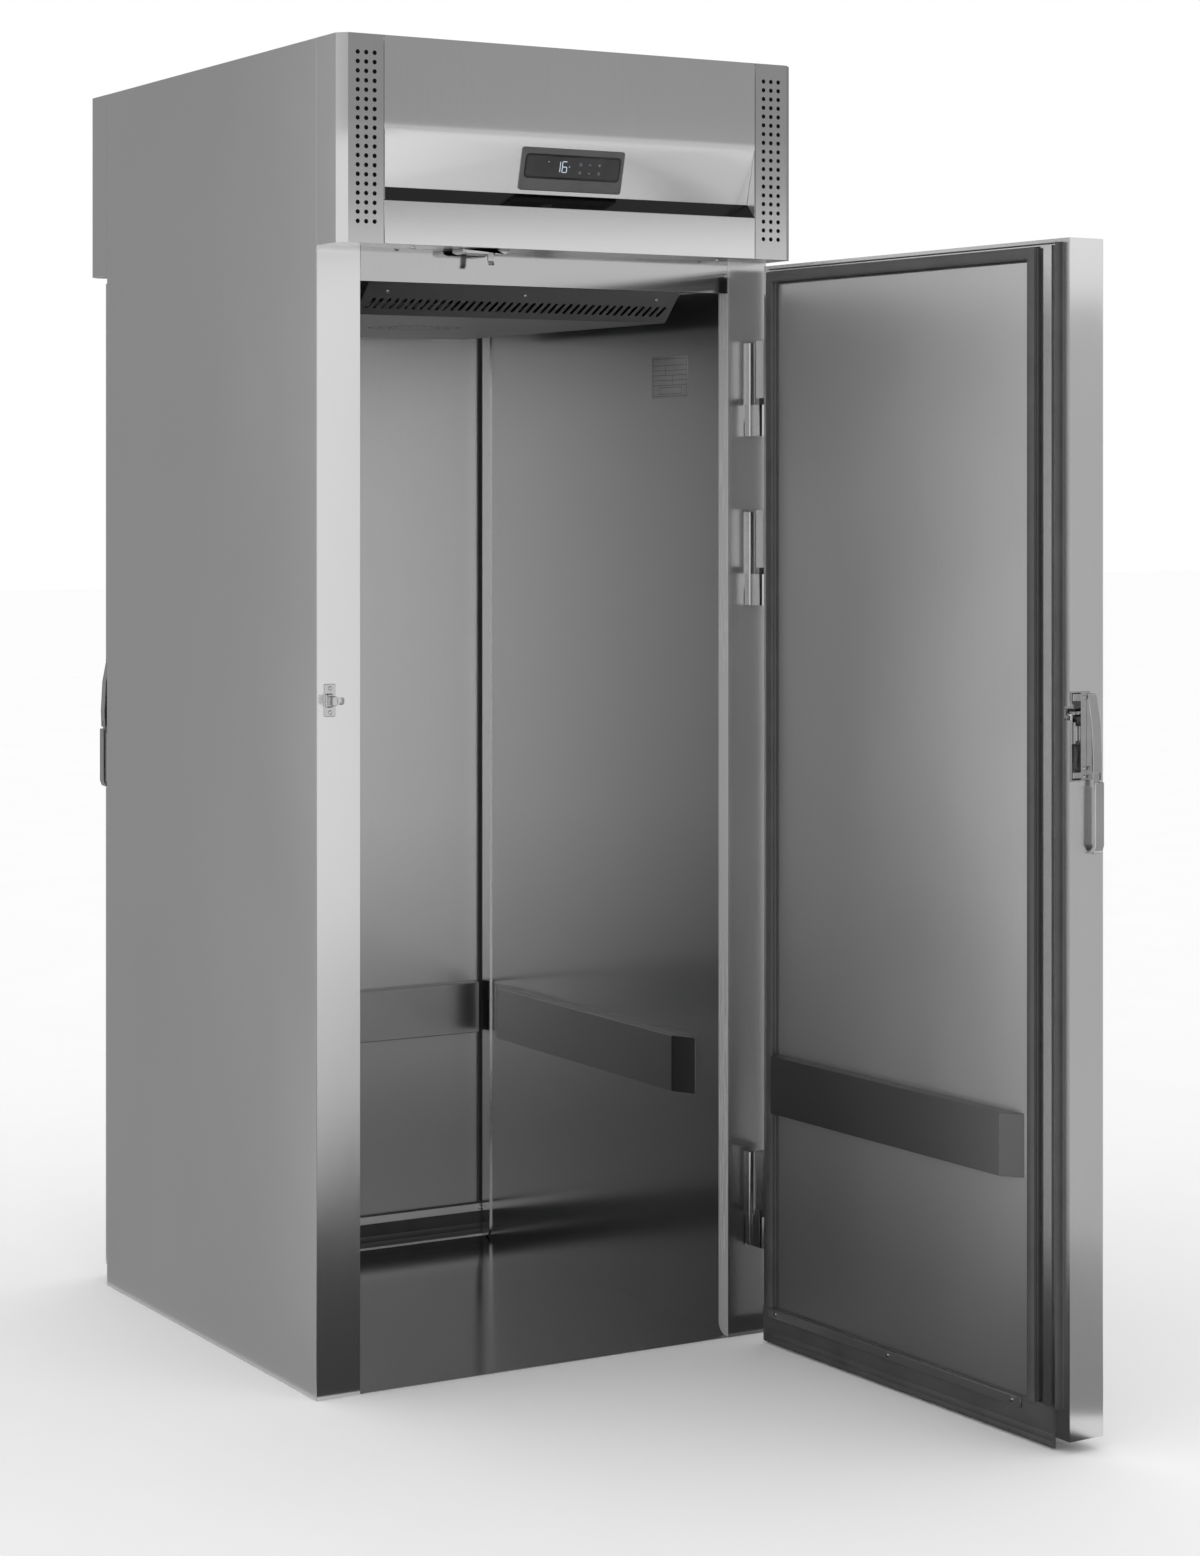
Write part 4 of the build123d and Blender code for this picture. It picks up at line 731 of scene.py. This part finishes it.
def strike_shape():
    """Base plate, arm and flat six-sided nose of the front strike."""
    shape = bmesh.new()

    def on_stile(u, v, w):
        return point_mm(-416 + u, STILE_FACE_Y - w, STRIKE_Z + v)

    def on_arm(u, v, w):
        return point_mm(-419 + u, STILE_FACE_Y - w, STRIKE_Z + v)

    def on_nose(u, v, w):
        return point_mm(-414 + w, -481 + u * 0.43, STRIKE_Z + v)

    plate = rounded(20, 54, 1.5)
    stack(shape, on_stile, [(plate, 0.0), (plate, 1.7), (rounded(18.6, 52.6, 1), 2.5)])
    collar = rounded(13, 23, 3)
    stack(shape, on_arm, [(collar, 2.4), (collar, 6.5), (rounded(10.5, 19, 2), 8.5)])
    stem = rounded(9, 16, 2.5)
    stack(shape, on_arm, [(stem, 8.4), (stem, 26.0), (rounded(7, 14, 2), 28.0)])
    levels = ((6.6, -0.6), (7.4, 1.2), (7.4, 8.5), (5.4, 12.0))
    stack(shape, on_nose, [(polygon(radius, 6), w) for radius, w in levels])
    return shape


def make_latch_pieces():
    for door, place in DOORS.items():
        shape = lock_works_shape()
        shape.transform(place)
        new_piece(door + "_lock_works", shape, door + "_door", "zinc_steel")
    new_piece("front_strike", strike_shape(), "cabinet", "cast_metal", stands_for="latch_strikes")
    shape = strike_shape()
    shape.transform(MIRRORED)
    new_piece("rear_strike", shape, "cabinet", "cast_metal")


SCREEN_START = (368.0, -541.3)
SCREEN_ENDS = (1902, 2226)
SCREEN_POINTS = 36
SCREEN_SHEET = 0.3
PLEAT_WIDTH = 1.4
PLEAT_DEPTH = 0.6


def shade_screen_shape():
    """Fine pleated screen behind one perforated strip, at the front right."""
    near = []
    far = []
    for step in range(SCREEN_POINTS):
        x = SCREEN_START[0] + PLEAT_WIDTH * step
        y = SCREEN_START[1] + PLEAT_DEPTH * (step % 2)
        near.append((x, y))
        far.append((x, y + SCREEN_SHEET))
    outline = near + list(reversed(far))
    shape = bmesh.new()
    skin(shape, [[point_mm(x, y, z) for x, y in outline] for z in SCREEN_ENDS])
    return shape


def make_shade_screens():
    """The screens keep the machine compartment dark behind the vent holes: near-black, nearly matte sheets
    as painted shade.
    """
    across = Matrix.Scale(-1, 4, (1, 0, 0))
    for name, place in (("front_right", Matrix.Identity(4)), ("front_left", across),
                        ("rear_right", MIRRORED), ("rear_left", MIRRORED @ across)):
        shape = shade_screen_shape()
        shape.transform(place)
        new_piece("shade_screen_" + name, shape, "cabinet", "black_enamel", SHADE_SCREEN_MESH)


RECESS = [(-543.6, 1967.0), (-520.4, 1990.1), (-543.6, 2082.6)]
RECESS_END = (358.4, 359.3)


def make_recess_ends():
    """Triangular folded ends that close the sloping recess of each header."""
    for side, ending in ((-1, "_left"), (1, "_right")):
        for name, place in (("front", Matrix.Identity(4)), ("rear", MIRRORED)):
            shape = bmesh.new()
            skin(shape, [[point_mm(side * x, y, z) for y, z in RECESS] for x in RECESS_END])
            shape.transform(place)
            new_piece("recess_end_" + name + ending, shape, "cabinet", "satin_steel")


FLOOR_REACH = 40.0


def make_studio():
    """Pale floor and plain white surroundings, which the camera and the metal both see."""
    bpy.context.scene.view_settings.view_transform = "Standard"
    world = bpy.data.worlds.new("studio")
    world.use_nodes = True
    bpy.context.scene.world = world
    surroundings = world.node_tree.nodes["Background"]
    surroundings.inputs["Color"].default_value = (1, 1, 1, 1)
    surroundings.inputs["Strength"].default_value = 1.0

    floor_mesh = bpy.data.meshes.new("floor")
    corners = [(x * FLOOR_REACH, y * FLOOR_REACH, 0) for x, y in ((-1, -1), (1, -1), (1, 1), (-1, 1))]
    floor_mesh.from_pydata(corners, [], [(0, 1, 2, 3)])
    floor = bpy.data.objects.new("floor", floor_mesh)
    floor.location.z = -0.0005
    bpy.context.scene.collection.objects.link(floor)
    material, shader = new_material("studio_floor")
    shader.inputs["Roughness"].default_value = 0.9
    shader.inputs["Specular IOR Level"].default_value = 0.0
    clouds = spread(material, noise(material, (3, 3, 3)), 0, 1)
    wire(material, mixed(material, clouds, (0.97,) * 3, (0.985,) * 3), shader.inputs["Base Color"])
    floor_mesh.materials.append(material)


def make_card(name, centre, along, up, size, tone):
    """A grey studio card that only the metal's gloss sees, tone from 0 for black to 1 for white."""
    side = Vector(along).normalized() * size[0] / 2
    rise = Vector(up).normalized() * size[1] / 2
    middle = Vector(centre)
    corners = [middle - side - rise, middle + side - rise, middle + side + rise, middle - side + rise]
    mesh = bpy.data.meshes.new(name)
    mesh.from_pydata([tuple(c) for c in corners], [], [(0, 1, 2, 3)])
    card = bpy.data.objects.new(name, mesh)
    material, shader = new_material(name)
    shader.inputs["Base Color"].default_value = (0, 0, 0, 1)
    shader.inputs["Roughness"].default_value = 1.0
    shader.inputs["Specular IOR Level"].default_value = 0.0
    shader.inputs["Emission Color"].default_value = (tone, tone, tone, 1)
    shader.inputs["Emission Strength"].default_value = 1.0
    mesh.materials.append(material)
    card.visible_camera = False
    card.visible_shadow = False
    card.visible_diffuse = False
    bpy.context.scene.collection.objects.link(card)


def make_cards():
    """Grey cards round the cabinet, which give the steel the tones of a photographer's room."""
    ahead = (0.863, 0.505, 0.0)
    mirrored_view = (0.505, -0.863, 0.0)
    door_ahead = (0.815, 0.578, 0.0)
    door_view = (0.578, -0.815, 0.0)
    depth = (0.0, 1.0, 0.0)
    width = (1.0, 0.0, 0.0)
    rise = (0.0, 0.0, 1.0)
    make_card("card_above_front", (0.606, -1.58, 3.03), ahead, rise, (4.0, 2.0), 0.33)
    make_card("card_by_header", (0.34, -0.62, 2.585), width, rise, (1.9, 1.0), 0.35)
    make_card("card_beside_door", (1.25, -2.25, 0.95), door_ahead, rise, (0.9, 1.8), 0.52)
    make_card("card_door_floor", (1.15, -2.3, 0.0016), door_view, door_ahead, (2.0, 0.7), 0.30)
    make_card("card_left", (-0.79, 2.8, 1.6), depth, rise, (6.2, 3.2), 0.37)
    make_card("card_left_floor", (-0.62, 2.65, 0.001), depth, width, (6.3, 0.34), 0.36)
    make_card("card_right", (1.3, 2.5, 1.6), depth, rise, (6.0, 3.2), 0.2)
    make_card("card_ceiling", (0, 0, 6.1), width, depth, (14, 14), 0.03)
    make_card("card_front_floor", (0.21, -1.505, 0.001), mirrored_view, ahead, (2.1, 0.5), 0.04)
    make_card("card_front_far", (1.5, -3.75, 0.001), mirrored_view, ahead, (3.4, 0.8), 0.5)
    make_card("card_door_foot", (0.0, -1.1, 0.0016), width, depth, (1.05, 1.26), 0.05)


make_camera()
make_studio()
make_cards()
dress_nodes()
soften_parts()
make_rubber()
make_controller()
make_display()
make_data_plate()
make_latch_pieces()
make_shade_screens()
make_recess_ends()
